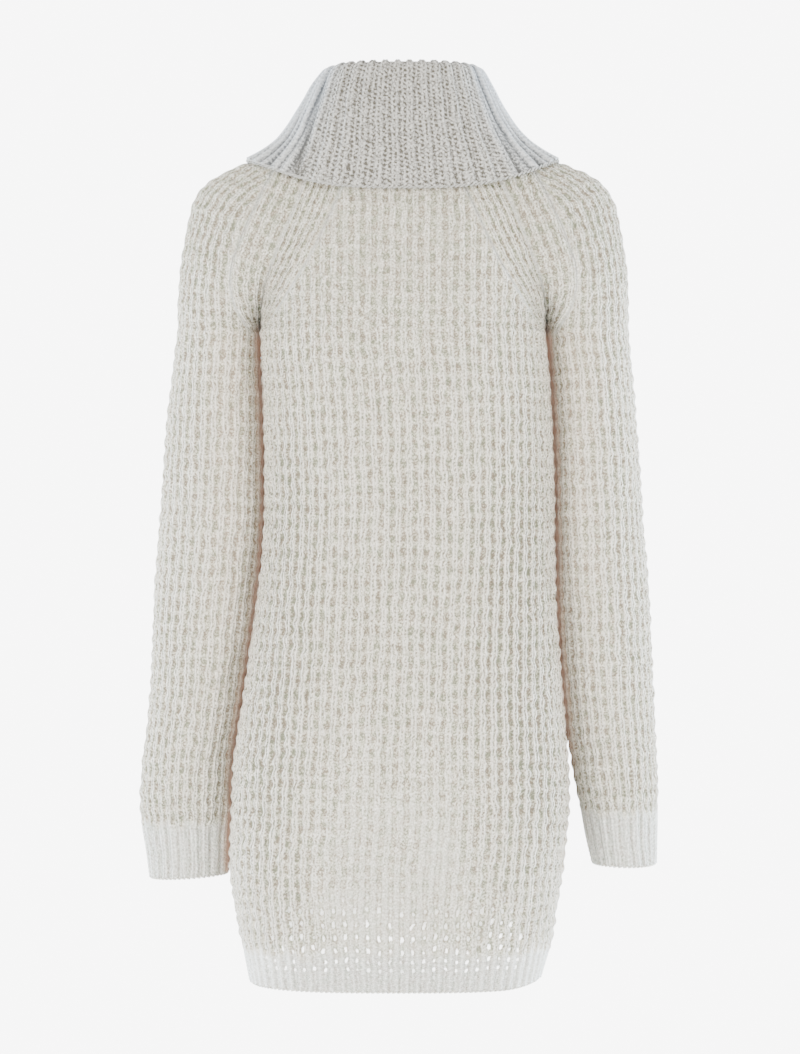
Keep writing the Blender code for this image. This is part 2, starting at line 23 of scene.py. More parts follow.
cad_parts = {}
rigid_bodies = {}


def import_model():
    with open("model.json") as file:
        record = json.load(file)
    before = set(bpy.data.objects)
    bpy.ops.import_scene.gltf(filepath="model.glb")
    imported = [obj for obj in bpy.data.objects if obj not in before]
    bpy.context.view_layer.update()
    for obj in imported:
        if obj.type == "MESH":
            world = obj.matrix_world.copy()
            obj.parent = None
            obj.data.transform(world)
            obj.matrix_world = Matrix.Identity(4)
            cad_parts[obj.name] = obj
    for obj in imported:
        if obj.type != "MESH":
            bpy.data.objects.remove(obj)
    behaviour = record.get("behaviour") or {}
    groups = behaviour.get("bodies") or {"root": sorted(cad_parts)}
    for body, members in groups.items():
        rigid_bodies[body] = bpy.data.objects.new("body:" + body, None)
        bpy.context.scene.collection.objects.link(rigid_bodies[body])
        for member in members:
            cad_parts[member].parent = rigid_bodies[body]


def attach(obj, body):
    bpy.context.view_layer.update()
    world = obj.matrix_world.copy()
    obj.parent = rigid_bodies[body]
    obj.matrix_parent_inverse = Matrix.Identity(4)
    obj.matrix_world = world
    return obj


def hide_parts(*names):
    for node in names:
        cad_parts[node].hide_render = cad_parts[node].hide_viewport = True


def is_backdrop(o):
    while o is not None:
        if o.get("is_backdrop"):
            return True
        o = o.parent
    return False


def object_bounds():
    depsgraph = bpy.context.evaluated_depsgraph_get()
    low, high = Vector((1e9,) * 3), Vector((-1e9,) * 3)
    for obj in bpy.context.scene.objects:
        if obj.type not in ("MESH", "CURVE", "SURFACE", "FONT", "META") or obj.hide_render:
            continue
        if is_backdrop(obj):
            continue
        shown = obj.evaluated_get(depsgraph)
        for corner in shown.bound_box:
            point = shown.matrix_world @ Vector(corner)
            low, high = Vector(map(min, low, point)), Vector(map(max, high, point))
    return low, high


Array = NDArray[np.float64]
Colour = tuple[float, float, float]
NodeOutputs = bpy.types.bpy_prop_collection
LOG = logging.getLogger("sweater_dress")

WALL = 0.0045
COLLAR_WALL = 0.0040
SEAM_GAP = 0.0003
COLLAR_GAP = 0.00065
HEM_HEIGHT = -0.806
HEM_BAND = 0.034
UNDERARM_HEIGHT = -0.165
CUFF_BAND = 0.053
HEM_LIFT = 0.006
HEM_LIFT_START = 0.095
HEM_LIFT_REACH = 0.045
CURVE_SAMPLES = 960
YOKE_CROWDING = 0.04
SEAM_STEP = 0.004
SEAM_END_ROWS = 3             # rows at the neck that have no seam stitches
SEAM_STITCH_SINK = 0.0004     # of the seam stitches into the cloth
EDGE_LOOK = 4                 # rows from an edge, to see which way the cloth runs
EDGE_OVERHANG = 0.0002        # of the cast-off loops past the edge
SEAM_LOOK = 12                # samples along a row from a seam, to see which way the cloth runs
NECK_STEP = 0.02
CREST_END = 0.40
CREST_PARTING = 0.6
COURSE = 0.0151               # height of one course of the waffle
COARSE = 4                    # fine steps for each step of an inner face
BAND_BLEND = (-3, 4)          # rows from a band's end, between which it turns into waffle
BAND_UNEVENNESS = 2           # rows by which that differs along the band
BAND_PACE = 5.0               # columns from one such difference to the next
BAND_SEED = 53
GAP_SHADE_CORE = 0.1             # share of the reach in which the painted shade between pieces is strongest
# heights over which that painted shade fades out, just above the underarm
GAP_SHADE_TOP = (UNDERARM_HEIGHT - 0.01, UNDERARM_HEIGHT + 0.02)
KNIT_MAP = "knit_map"         # UV map of wales and courses
KNIT_ATTRIBUTES = ("hollow", "knit", "glint", "crease")
INNER_KNIT = (0.15, 0.7, 0.0, 0.0)   # what an inner face has of these
GLINT: Colour = (0.93, 0.93, 0.92)
DARK: Colour = (0.0, 0.0, 0.0)
GAP_SHADE: Colour = (0.72, 0.49, 0.36)   # painted warm shade and bounced light near the gaps between the sleeves and the body
GAP_GLOW: Colour = (0.024, 0.019, 0.015)   # painted glow in such a gap, which lies in shade


class Side(IntEnum):
    """Where a sleeve lies along X."""

    LEFT = -1
    RIGHT = 1


class Face(IntEnum):
    """Where a panel lies along Y."""

    BACK = -1
    FRONT = 1


class Owner(IntEnum):
    """Which of the two pieces at a raglan seam an edge belongs to."""

    PANEL = -1
    SLEEVE = 1


class BodyRow(NamedTuple):
    """A section of the body at a height."""

    height: float
    centre_x: float
    half_width: float
    back_depth: float
    front_depth: float
    squareness: float


class YokeRow(NamedTuple):
    """A row over the underarms, at a rise from 0 at the underarm to 1 at the neck."""

    rise: float
    centre_x: float
    crest_x: float
    crest_z: float
    seam_x: float
    seam_z: float
    arm_depth: float
    turn: float
    arm_y: float
    back_depth: float
    front_depth: float
    front_drop: float


class SleeveRow(NamedTuple):
    """A section of a sleeve below the underarm."""

    height: float
    outer_x: float
    inner_x: float
    girth: float
    centre_y: float
    tilt: float


class CollarRow(NamedTuple):
    """A section of the collar's shown face."""

    key: float
    centre_x: float
    half_width: float
    back_depth: float
    front_depth: float
    side_z: float
    back_z: float
    front_z: float
    squareness: float
    spread: float


class CollarFold(NamedTuple):
    """A soft fold down the collar: its bearing and reach in degrees, and its depth."""

    angle: float
    reach: float
    depth: float


class CollarCrease(NamedTuple):
    """A sharp crease down the collar: bearing, lean and reach in degrees, and its depth."""

    angle: float
    lean: float
    reach: float
    depth: float


BODY = (
    BodyRow(-0.806, -0.0062, 0.1448, 0.111, 0.107, 3.0),
    BodyRow(-0.772, -0.0055, 0.1520, 0.113, 0.110, 3.0),
    BodyRow(-0.740, -0.0060, 0.1575, 0.115, 0.112, 3.0),
    BodyRow(-0.698, -0.0055, 0.1640, 0.118, 0.115, 2.9),
    BodyRow(-0.642, -0.0020, 0.1660, 0.120, 0.116, 2.8),
    BodyRow(-0.590, -0.0010, 0.1650, 0.119, 0.115, 2.8),
    BodyRow(-0.530, 0.0008, 0.1585, 0.114, 0.110, 2.8),
    BodyRow(-0.470, 0.0030, 0.1520, 0.106, 0.106, 2.8),
    BodyRow(-0.410, 0.0055, 0.1465, 0.099, 0.103, 2.8),
    BodyRow(-0.350, 0.0075, 0.1440, 0.096, 0.103, 2.8),
    BodyRow(-0.290, 0.0070, 0.1435, 0.098, 0.108, 2.8),
    BodyRow(-0.230, 0.0050, 0.1430, 0.101, 0.115, 2.8),
    BodyRow(-0.165, 0.0010, 0.1420, 0.104, 0.118, 2.8),
)
YOKE = (
    YokeRow(0.00, 0.0010, 0.2250, -0.165, 0.1420, -0.165, 0.0620, 180.0, 0.010, 0.104, 0.118, 0.000),
    YokeRow(0.11, 0.0012, 0.2245, -0.128, 0.1405, -0.146, 0.0660, 150.0, 0.009, 0.105, 0.117, 0.001),
    YokeRow(0.26, 0.0014, 0.2215, -0.092, 0.1355, -0.120, 0.0720, 125.0, 0.008, 0.105, 0.115, 0.002),
    YokeRow(0.40, 0.0016, 0.2155, -0.056, 0.1265, -0.095, 0.0770, 103.0, 0.006, 0.104, 0.111, 0.004),
    YokeRow(0.55, 0.0018, 0.2080, -0.029, 0.1160, -0.069, 0.0810, 88.0, 0.004, 0.101, 0.106, 0.007),
    YokeRow(0.70, 0.0018, 0.1910, -0.0105, 0.1055, -0.044, 0.0805, 80.0, 0.002, 0.096, 0.099, 0.011),
    YokeRow(0.78, 0.0014, 0.1755, -0.0025, 0.0999, -0.030, 0.0778, 77.0, 0.0015, 0.091, 0.095, 0.0135),
    YokeRow(0.86, 0.0008, 0.1545, 0.0055, 0.0940, -0.016, 0.0740, 75.0, 0.001, 0.085, 0.090, 0.016),
    YokeRow(0.94, 0.0003, 0.1180, 0.0132, 0.0860, -0.002, 0.0650, 72.0, 0.0, 0.075, 0.080, 0.020),
    YokeRow(1.00, 0.0, 0.0840, 0.0210, 0.0770, 0.007, 0.0555, 70.0, 0.0, 0.065, 0.069, 0.024),
)
YOKE_SQUARENESS = 2.8
BACK_NECK_DIP = 0.003
FRONT_NECK_DIP = 0.008
SLEEVES = {
    Side.LEFT: (
        SleeveRow(-0.7045, -0.2528, -0.1738, 0.232, 0.012, 0.0028),
        SleeveRow(-0.6800, -0.2560, -0.1714, 0.236, 0.012, 0.0024),
        SleeveRow(-0.6520, -0.2605, -0.1700, 0.256, 0.012, 0.0016),
        SleeveRow(-0.6250, -0.2617, -0.1697, 0.280, 0.012, 0.0008),
        SleeveRow(-0.5900, -0.2590, -0.1682, 0.294, 0.013, 0.0),
        SleeveRow(-0.5300, -0.2523, -0.1593, 0.308, 0.015, 0.0),
        SleeveRow(-0.4700, -0.2497, -0.1506, 0.320, 0.017, 0.0),
        SleeveRow(-0.4100, -0.2472, -0.1426, 0.330, 0.019, 0.0),
        SleeveRow(-0.3500, -0.2425, -0.1381, 0.336, 0.018, 0.0),
        SleeveRow(-0.2900, -0.2378, -0.1379, 0.338, 0.016, 0.0),
        SleeveRow(-0.2300, -0.2328, -0.1394, 0.337, 0.013, 0.0),
        SleeveRow(-0.1990, -0.2288, -0.1412, 0.335, 0.012, 0.0),
        SleeveRow(-0.1650, -0.2240, -0.1410, 0.333, 0.010, 0.0),
    ),
    Side.RIGHT: (
        SleeveRow(-0.6925, 0.2545, 0.1905, 0.232, 0.008, 0.0003),
        SleeveRow(-0.6700, 0.2550, 0.1850, 0.236, 0.008, 0.0003),
        SleeveRow(-0.6400, 0.2555, 0.1795, 0.256, 0.008, 0.0002),
        SleeveRow(-0.6130, 0.2555, 0.1742, 0.280, 0.010, 0.0),
        SleeveRow(-0.5800, 0.2538, 0.1688, 0.294, 0.012, 0.0),
        SleeveRow(-0.5300, 0.2518, 0.1610, 0.308, 0.014, 0.0),
        SleeveRow(-0.4700, 0.2492, 0.1566, 0.320, 0.016, 0.0),
        SleeveRow(-0.4100, 0.2460, 0.1537, 0.330, 0.017, 0.0),
        SleeveRow(-0.3500, 0.2410, 0.1531, 0.336, 0.017, 0.0),
        SleeveRow(-0.2900, 0.2370, 0.1520, 0.338, 0.015, 0.0),
        SleeveRow(-0.2300, 0.2325, 0.1495, 0.337, 0.013, 0.0),
        SleeveRow(-0.1990, 0.2295, 0.1473, 0.335, 0.012, 0.0),
        SleeveRow(-0.1650, 0.2260, 0.1430, 0.333, 0.010, 0.0),
    ),
}
COLLAR = (
    CollarRow(0, 0.0, 0.0705, 0.0545, 0.0580, 0.046, 0.036, 0.026, 2.2, 0.0),
    CollarRow(1, 0.0, 0.0670, 0.0545, 0.0570, 0.068, 0.064, 0.060, 2.3, 0.0),
    CollarRow(2, 0.0, 0.0660, 0.0560, 0.0580, 0.0885, 0.0885, 0.0885, 2.4, 0.0),
    CollarRow(3, 0.0010, 0.0680, 0.0580, 0.0600, 0.0965, 0.0965, 0.0965, 2.4, 0.0),
    CollarRow(4, 0.0015, 0.0730, 0.0630, 0.0650, 0.1003, 0.1003, 0.1003, 2.4, 0.0),
    CollarRow(5, 0.0015, 0.0785, 0.0685, 0.0705, 0.0983, 0.0983, 0.0983, 2.4, 0.0),
    CollarRow(6, 0.0010, 0.0825, 0.0720, 0.0745, 0.0935, 0.0930, 0.0930, 2.4, 0.0),
    CollarRow(7, 0.0, 0.0900, 0.0760, 0.0795, 0.0820, 0.0790, 0.0780, 2.4, 0.03),
    CollarRow(8, 0.0, 0.0972, 0.0800, 0.0840, 0.0680, 0.0620, 0.0590, 2.5, 0.06),
    CollarRow(9, 0.0, 0.1052, 0.0838, 0.0885, 0.0540, 0.0450, 0.0400, 2.6, 0.10),
    CollarRow(10, 0.0005, 0.1142, 0.0875, 0.0930, 0.0400, 0.0275, 0.0200, 2.7, 0.14),
    CollarRow(11, 0.0015, 0.1255, 0.0910, 0.0970, 0.0270, 0.0095, 0.0, 2.8, 0.18),
    CollarRow(12, 0.0020, 0.1400, 0.0945, 0.1010, 0.0164, -0.0085, -0.0210, 2.9, 0.22),
    CollarRow(13, 0.0020, 0.1540, 0.0975, 0.1050, 0.0086, -0.0265, -0.0420, 3.0, 0.25),
)
COLLAR_FOLDS = (
    CollarFold(-52.0, 13.0, 0.0050),
    CollarFold(-78.0, 11.0, -0.0030),
    CollarFold(48.0, 15.0, 0.0035),
    CollarFold(118.0, 16.0, 0.0050),
    CollarFold(-121.0, 16.0, 0.0050),
    CollarFold(180.0, 24.0, 0.0040),
)
FOLD_FIRST_ROW = 6
COLLAR_CREASES = (
    CollarCrease(-63.0, 11.0, 2.2, 0.0036),
    CollarCrease(-74.0, 10.0, 2.6, 0.0020),
    CollarCrease(60.0, -4.0, 2.4, 0.0022),
    CollarCrease(72.0, -7.0, 2.6, 0.0018),
)


def smooth_row(rows: Sequence[tuple[float, ...]], key: float) -> tuple[float, ...]:
    """Read a table at a key, on a smooth curve through its rows.

    Args:
        rows: The table, with its key in the first column.
        key: Where to read.

    Returns:
        A row of the table's own type.
    """
    keys = np.array([row[0] for row in rows])
    values = np.array(rows, dtype=float)
    slopes = np.gradient(values, keys, axis=0)
    first = int(np.clip(np.searchsorted(keys, key) - 1, 0, len(keys) - 2))
    step = keys[first + 1] - keys[first]
    part = (key - keys[first]) / step
    start, end = values[first], values[first + 1]
    result = ((2 * part ** 3 - 3 * part ** 2 + 1) * start
              + (part ** 3 - 2 * part ** 2 + part) * step * slopes[first]
              + (3 * part ** 2 - 2 * part ** 3) * end
              + (part ** 3 - part ** 2) * step * slopes[first + 1])
    return type(rows[0])(*result)


def unit(vectors: Array) -> Array:
    """Vectors (in the last axis) made one long."""
    return vectors / np.linalg.norm(vectors, axis=-1, keepdims=True)


def signed_power(values: Array, power: float) -> Array:
    """The power of the size of each value, with the value's sign."""
    return np.sign(values) * np.abs(values) ** power


def ramp(values: Array, low: float, high: float) -> Array:
    """A smooth step from 0 at `low` to 1 at `high`."""
    share = np.clip((values - low) / (high - low), 0.0, 1.0)
    return share * share * (3 - 2 * share)


def fall(values: Array, low: float, high: float) -> Array:
    """A smooth step from 1 at `low` to 0 at `high`."""
    return 1.0 - ramp(values, low, high)


def divide_evenly(line: Array, steps: int, spread: float = 0.0) -> Array:
    """Even steps along a line of points.

    Args:
        line: Points, with their places in the first three columns.
        steps: The number of steps.
        spread: How much the steps narrow at the ends and the middle.

    Returns:
        The divided line, with all the columns of `line`.
    """
    lengths = np.linalg.norm(np.diff(line[:, :3], axis=0), axis=1)
    distance = np.concatenate(([0.0], np.cumsum(lengths)))
    share = np.linspace(0.0, 1.0, steps + 1)
    share = share - spread * np.sin(4 * math.pi * share) / (4 * math.pi)
    wanted = share * distance[-1]
    return np.stack([np.interp(wanted, distance, column) for column in line.T], axis=1)


def seam_point(side: int, face: int, rise: float) -> Array:
    """A point of the raglan seam between a sleeve and a panel.

    Args:
        side: Of the sleeve.
        face: Of the panel.
        rise: From 0 at the underarm to 1 at the neck.

    Returns:
        The place.
    """
    row = smooth_row(YOKE, rise)
    drop = row.front_drop if face == Face.FRONT else 0.0
    depth = row.arm_depth * math.sin(math.radians(row.turn))
    return np.array((row.centre_x + side * row.seam_x, face * depth, row.seam_z - drop))


def sleeve_arc(side: int, rise: float) -> Array:
    """A sleeve's row over the underarm, from the back seam over the crest to the front seam.

    Args:
        side: Of the sleeve.
        rise: From 0 at the underarm to 1 at the neck.

    Returns:
        The row's points.
    """
    row = smooth_row(YOKE, rise)
    crest = np.array((row.centre_x + side * row.crest_x, 0.0, row.crest_z))
    seam = np.array((row.centre_x + side * row.seam_x, 0.0, row.seam_z))
    turn = math.radians(row.turn)
    half_width = np.linalg.norm(crest - seam) / (1.0 - math.cos(turn))
    outwards = unit(crest - seam)
    angle = np.linspace(-turn, turn, CURVE_SAMPLES)
    share = angle / turn
    line = crest + half_width * (np.cos(angle) - 1.0)[:, None] * outwards
    line[:, 1] = row.arm_depth * np.sin(angle) + row.arm_y * np.cos(share * math.pi / 2) ** 2
    line[:, 2] -= row.front_drop * np.clip(share, 0.0, 1.0) ** 2
    return line


def sleeve_ring(side: int, height: float) -> Array:
    """A sleeve's closed section below the underarm, starting and ending at its inner side.

    Args:
        side: Of the sleeve.
        height: Of the section.

    Returns:
        The section's points.
    """
    row = smooth_row(SLEEVES[side], height)
    half_width = abs(row.outer_x - row.inner_x) / 2
    half_depth = math.sqrt(2 * (row.girth / (2 * math.pi)) ** 2 - half_width ** 2)
    angle = np.linspace(-math.pi, math.pi, CURVE_SAMPLES)
    return np.stack([
        (row.outer_x + row.inner_x) / 2 + side * half_width * np.cos(angle),
        half_depth * np.sin(angle) + row.centre_y * np.cos(angle / 2) ** 2,
        row.height - row.tilt * np.cos(angle),
    ], axis=1)


def panel_arc(face: int, ends: Sequence[Array], centre_x: float, depth: float,
              squareness: float, dip: float) -> Array:
    """A panel's row between its two side points.

    Args:
        face: Of the panel.
        ends: The two side points.
        centre_x: The middle of the row.
        depth: How far it bulges.
        squareness: The power of its superellipse.
        dip: How much lower its middle lies than its ends.

    Returns:
        The row's points.
    """
    halves = []
    for side, end in zip((Side.LEFT, Side.RIGHT), ends):
        reach = abs(end[0] - centre_x)
        half_width = reach / (1.0 - (abs(end[1]) / depth) ** squareness) ** (1 / squareness)
        last = math.asin((reach / half_width) ** (squareness / 2))
        angle = np.linspace(0.0, last, CURVE_SAMPLES // 2)
        across = half_width * np.sin(angle) ** (2 / squareness)
        halves.append(np.stack([
            centre_x + side * across,
            face * depth * np.cos(angle).clip(0.0) ** (2 / squareness),
            end[2] - dip * (1.0 - (across / across[-1]) ** 2),
        ], axis=1))
    return np.concatenate([halves[0][::-1], halves[1][1:]])


def panel_row(face: int, level: float) -> Array:
    """A panel's row.

    Args:
        face: Of the panel.
        level: A height (negative) below the underarm, and a rise from 0 to 1 over it.

    Returns:
        The row's points.
    """
    if level < 0.0:
        row = smooth_row(BODY, level)
        ends = [np.array((row.centre_x + side * row.half_width, 0.0, level)) for side in Side]
        squareness, dip = row.squareness, 0.0
    else:
        row = smooth_row(YOKE, level)
        ends = [seam_point(side, face, level) for side in Side]
        squareness = YOKE_SQUARENESS
        dip = (BACK_NECK_DIP if face == Face.BACK else FRONT_NECK_DIP) * level ** 2
    depth = row.back_depth if face == Face.BACK else row.front_depth
    arc = panel_arc(face, ends, row.centre_x, depth, squareness, dip)
    lift = HEM_LIFT * np.clip((HEM_HEIGHT + HEM_BAND - level) / HEM_BAND, 0.0, 1.0)
    arc[:, 2] += lift * np.clip((arc[:, 0] - HEM_LIFT_START) / HEM_LIFT_REACH, 0.0, 1.0) ** 2
    return arc


def yoke_rises(rows: int) -> Array:
    """The rises of the yoke's rows, closer together near the underarm and the neck."""
    share = np.linspace(0.0, 1.0, rows + 1)
    return share - YOKE_CROWDING * np.sin(2 * math.pi * share)


def grid_normals(grid: Array, closed_rows: int = 0) -> Array:
    """Normals of a grid of points.

    Args:
        grid: The points, by row and column.
        closed_rows: How many of the first rows are closed.

    Returns:
        A normal for each point.
    """
    along_row = np.gradient(grid, axis=1)
    ends = (grid[:closed_rows, 1] - grid[:closed_rows, -2]) / 2
    along_row[:closed_rows, 0] = ends
    along_row[:closed_rows, -1] = ends
    return unit(np.cross(along_row, np.gradient(grid, axis=0)))


def seam_way(side: int, face: int, rise: float, owner: Owner) -> tuple[Array, Array]:
    """How the wall lies at a raglan seam.

    Args:
        side: Of the sleeve.
        face: Of the panel.
        rise: From 0 at the underarm to 1 at the neck.
        owner: The piece whose wall is asked for.

    Returns:
        The wall's way into the cloth, and the way from panel to sleeve.
    """
    if rise == 0.0:
        across = np.array((float(side), 0.0, 0.0))
        return unit(np.array((0.0, 0.0, 1.0)) + owner * CREST_PARTING * across), across
    here = seam_point(side, face, rise)
    low, high = max(rise - SEAM_STEP, 0.0), min(rise + SEAM_STEP, 1.0)
    along = unit(seam_point(side, face, high) - seam_point(side, face, low))
    panel = panel_row(face, rise)
    sleeve = sleeve_arc(side, rise)
    to_panel = unit(panel[SEAM_LOOK if side == Side.LEFT else -1 - SEAM_LOOK] - here)
    to_sleeve = unit(sleeve[SEAM_LOOK if face == Face.BACK else -1 - SEAM_LOOK] - here)
    crest = max(0.0, 1.0 - rise / CREST_END)
    inwards = unit(side * face * unit(np.cross(along, to_panel))
                   + side * face * unit(np.cross(to_sleeve, along)) + (0.0, 0.0, crest))
    across = unit(np.cross(along, inwards))
    across *= np.sign(across[0]) * side
    return unit(inwards + owner * CREST_PARTING * crest * across), across


def neck_line(row_at: Callable[[float], Array], outwards_sign: int) -> Array:
    """The neck edge of one piece.

    Args:
        row_at: Gives the piece's row at a rise.
        outwards_sign: 1 where its rows run so that their normals look out, or else -1.

    Returns:
        Its places, and the wall's way into the cloth at each, in six columns.
    """
    edge, below = row_at(1.0), row_at(1.0 - NECK_STEP)
    along = np.gradient(edge, axis=0)
    cloth = unit(np.cross(along, edge - below))
    stand = unit(np.cross(along, (0.0, 0.0, 1.0)))
    return np.concatenate([edge, -outwards_sign * unit(cloth + stand)], axis=1)


def panel_neck(face: int) -> Array:
    """The neck edge of the back or the front, from its left to its right corner."""
    return neck_line(lambda rise: panel_row(face, rise), -face)


def sleeve_neck(side: int) -> Array:
    """The neck edge of a sleeve, from its back to its front corner."""
    return neck_line(lambda rise: sleeve_arc(side, rise), side)


def collar_ring(key: float) -> Array:
    """A section of the collar's shown face, from the middle of the back round by +X.

    Args:
        key: Of the row in the collar's table.

    Returns:
        The section's points.
    """
    row = smooth_row(COLLAR, key)
    angle = np.linspace(0.0, 2 * math.pi, 2 * CURVE_SAMPLES)
    power = 2 / row.squareness
    depth = np.where(np.cos(angle) > 0, row.back_depth, row.front_depth)
    end_z = np.where(np.cos(angle) > 0, row.back_z, row.front_z)
    ring = np.stack([
        row.centre_x + row.half_width * signed_power(np.sin(angle), power),
        -depth * signed_power(np.cos(angle), power),
        row.side_z + (end_z - row.side_z) * np.cos(angle) ** 2,
    ], axis=1)
    bearing = bearings(ring)
    share = max(0.0, (key - FOLD_FIRST_ROW) / (COLLAR[-1].key - FOLD_FIRST_ROW))
    for fold in COLLAR_FOLDS:
        off = (bearing - fold.angle + 180.0) % 360.0 - 180.0
        press = share * fold.depth * np.exp(-(off / fold.reach) ** 2)
        ring[:, :2] -= press[:, None] * unit(ring[:, :2])
    return ring


def bearings(points: Array) -> Array:
    """The bearing of each point, in degrees from the middle of the back."""
    return np.degrees(np.arctan2(points[..., 0], -points[..., 1]))


class Noise:
    """Smooth, repeatable unevenness over a plane."""

    def __init__(self, seed: int, size: int = 128) -> None:
        """Draw the table of values.

        Args:
            seed: The random seed.
            size: Rows and columns of the table, which repeats.
        """
        self.table = np.random.default_rng(seed).uniform(-1.0, 1.0, (size, size))

    def at(self, across: Array, along: Array) -> Array:
        """Read it.

        Args:
            across: One coordinate of each place.
            along: The other.

        Returns:
            Values from -1 to 1, which change over about one unit of each coordinate.
        """
        size = len(self.table)
        low_a, low_b = np.floor(across).astype(int), np.floor(along).astype(int)
        part_a, part_b = across - low_a, along - low_b
        part_a = part_a * part_a * (3 - 2 * part_a)
        part_b = part_b * part_b * (3 - 2 * part_b)

        def corner(i: int, j: int) -> Array:
            """The table's value at a corner of each place's cell."""
            return self.table[(low_a + i) % size, (low_b + j) % size]

        low = corner(0, 0) * (1 - part_a) + corner(1, 0) * part_a
        high = corner(0, 1) * (1 - part_a) + corner(1, 1) * part_a
        return low * (1 - part_b) + high * part_b


class Span(NamedTuple):
    """Where a smooth step starts and where it is complete."""

    start: float
    end: float


class Waver(NamedTuple):
    """An unevenness of the yarn, over the knit's coordinates."""

    size: float
    across: float                 # changes for each wale
    along: float                  # changes for each course
    shift: float = 0.0            # where in the noise it starts

    def of(self, noise: Noise, wale: Array, course: Array) -> Array:
        """Its value at knit coordinates."""
        return self.size * noise.at(wale * self.across + self.shift, course * self.along)


@dataclass
class Relief:
    """What the knit does at each point of a grid."""

    rise: Array
    hollow: Array                 # painted shade at a point: in a band's furrows, the collar's furrows and creases, over the yoke and the shoulders; below 0 it is painted light
    knit: Array                   # how strongly the stitch pattern shows
    glint: Array                  # how much light comes through the pits
    crease: Array                 # painted warm shade: how close another piece lies under the arm, and a sleeve's inner half
    softness: ClassVar[float] = 0.5   # how much flatter the knit is where it shows no more

    @classmethod
    def of(cls, rise: Array) -> Relief:
        """A relief of one stitch pattern all over."""
        return cls(rise, np.zeros_like(rise), np.ones_like(rise), np.zeros_like(rise),
                   np.zeros_like(rise))

    def soften(self, share: Array) -> None:
        """Let the knit show less, where the cloth is stretched smooth."""
        self.rise *= 1.0 - self.softness * share
        self.knit *= 1.0 - share

    def scale(self, share: Array) -> None:
        """Let the knit show and stand up more or less."""
        self.knit *= share
        self.rise *= share


@dataclass(frozen=True)
class WaffleStitch:
    """Waffle knit: chains of big stitches, with a pit between each two at every course."""

    crest: float = 0.0020         # of a chain over the cloth
    pit: float = 0.0017           # of a pit's floor under the cloth
    chain_side: Span = Span(0.17, 0.37)    # where a chain falls off, in wales from its middle
    chain_swell: float = 0.07     # how much wider a chain is at a bridge
    bead: float = 0.30            # how much of a chain's height it has at the bridges alone
    groove: float = 0.0006        # between a chain's two legs
    groove_side: Span = Span(0.02, 0.16)
    web: float = 0.36             # height of the bridge between two pits of a column
    size: Waver = Waver(0.25, 1.1, 1.4)    # of the stitches
    sway: Waver = Waver(0.08, 0.9, 1.3)    # of a wale
    wobble: Waver = Waver(0.09, 0.6, 3.1, 17.5)    # of a wale, stitch by stitch
    drift: Waver = Waver(0.24, 0.8, 0.22, 40.5)    # of a course
    seed: int = 11

    def coordinates(self, wale: Array, course: Array) -> tuple[Array, Array]:
        """Give the knit's coordinates the yarn's own unevenness.

        Args:
            wale: Even wale coordinates.
            course: Even course coordinates.

        Returns:
            The uneven ones.
        """
        noise = Noise(self.seed)
        return (wale + self.sway.of(noise, wale, course) + self.wobble.of(noise, wale, course),
                course + self.drift.of(noise, wale, course))

    def relief(self, wale: Array, course: Array) -> Relief:
        """Work out the knit.

        Args:
            wale: Wale coordinates, with a chain on each whole one.
            course: Course coordinates, with a bridge on each whole one.

        Returns:
            Its relief.
        """
        off = np.abs(wale - np.round(wale))
        bridge = 0.5 + 0.5 * np.cos(2 * math.pi * course)
        size = 1.0 + self.size.of(Noise(self.seed + 1), wale, course)
        swell = self.chain_swell * bridge
        chain = fall(off, self.chain_side.start + swell, self.chain_side.end + swell)
        level = chain * (1.0 - self.bead + self.bead * bridge)
        level += self.web * bridge ** 2 * (1.0 - chain)
        rise = -self.pit + (self.crest + self.pit) * size * level
        return Relief.of(rise - self.groove * fall(off, *self.groove_side))


@dataclass(frozen=True)
class BandRib:
    """The rib of the hem and the cuffs."""

    crest: float = 0.0009
    furrow: float = 0.0010
    crest_side: Span = Span(0.16, 0.40)    # where a crest falls off, in ribs from its middle
    groove: float = 0.0005        # between a crest's two legs
    groove_side: Span = Span(0.02, 0.12)
    bead: float = 0.00022         # of a stitch
    course: float = 0.0046
    furrow_shade: float = 0.50
    groove_shade: float = 0.25
    stitch_shade: float = 0.12
    lift: float = 0.25            # how much lighter than the waffle the band looks
    sway: Waver = Waver(0.06, 1.0, 1 / 0.012)
    seed: int = 23

    def relief(self, rib: Array, height: Array) -> Relief:
        """Work out the rib.

        Args:
            rib: Rib coordinates, with a crest on each half one.
            height: In metres from the edge.

        Returns:
            Its relief.
        """
        rib = rib + self.sway.of(Noise(self.seed), rib, height)
        off = np.abs(rib - np.floor(rib) - 0.5)
        crest, groove = fall(off, *self.crest_side), fall(off, *self.groove_side)
        stitch = np.cos(2 * math.pi * (height / self.course + 0.5 * np.floor(rib)))
        band = Relief.of(-self.furrow + (self.crest + self.furrow) * crest
                         - self.groove * groove + self.bead * stitch * crest)
        band.hollow = (self.furrow_shade * (1.0 - crest) + self.groove_shade * groove
                       + self.stitch_shade * (1.0 - stitch) * crest - self.lift)
        band.knit = np.zeros_like(rib)
        return band


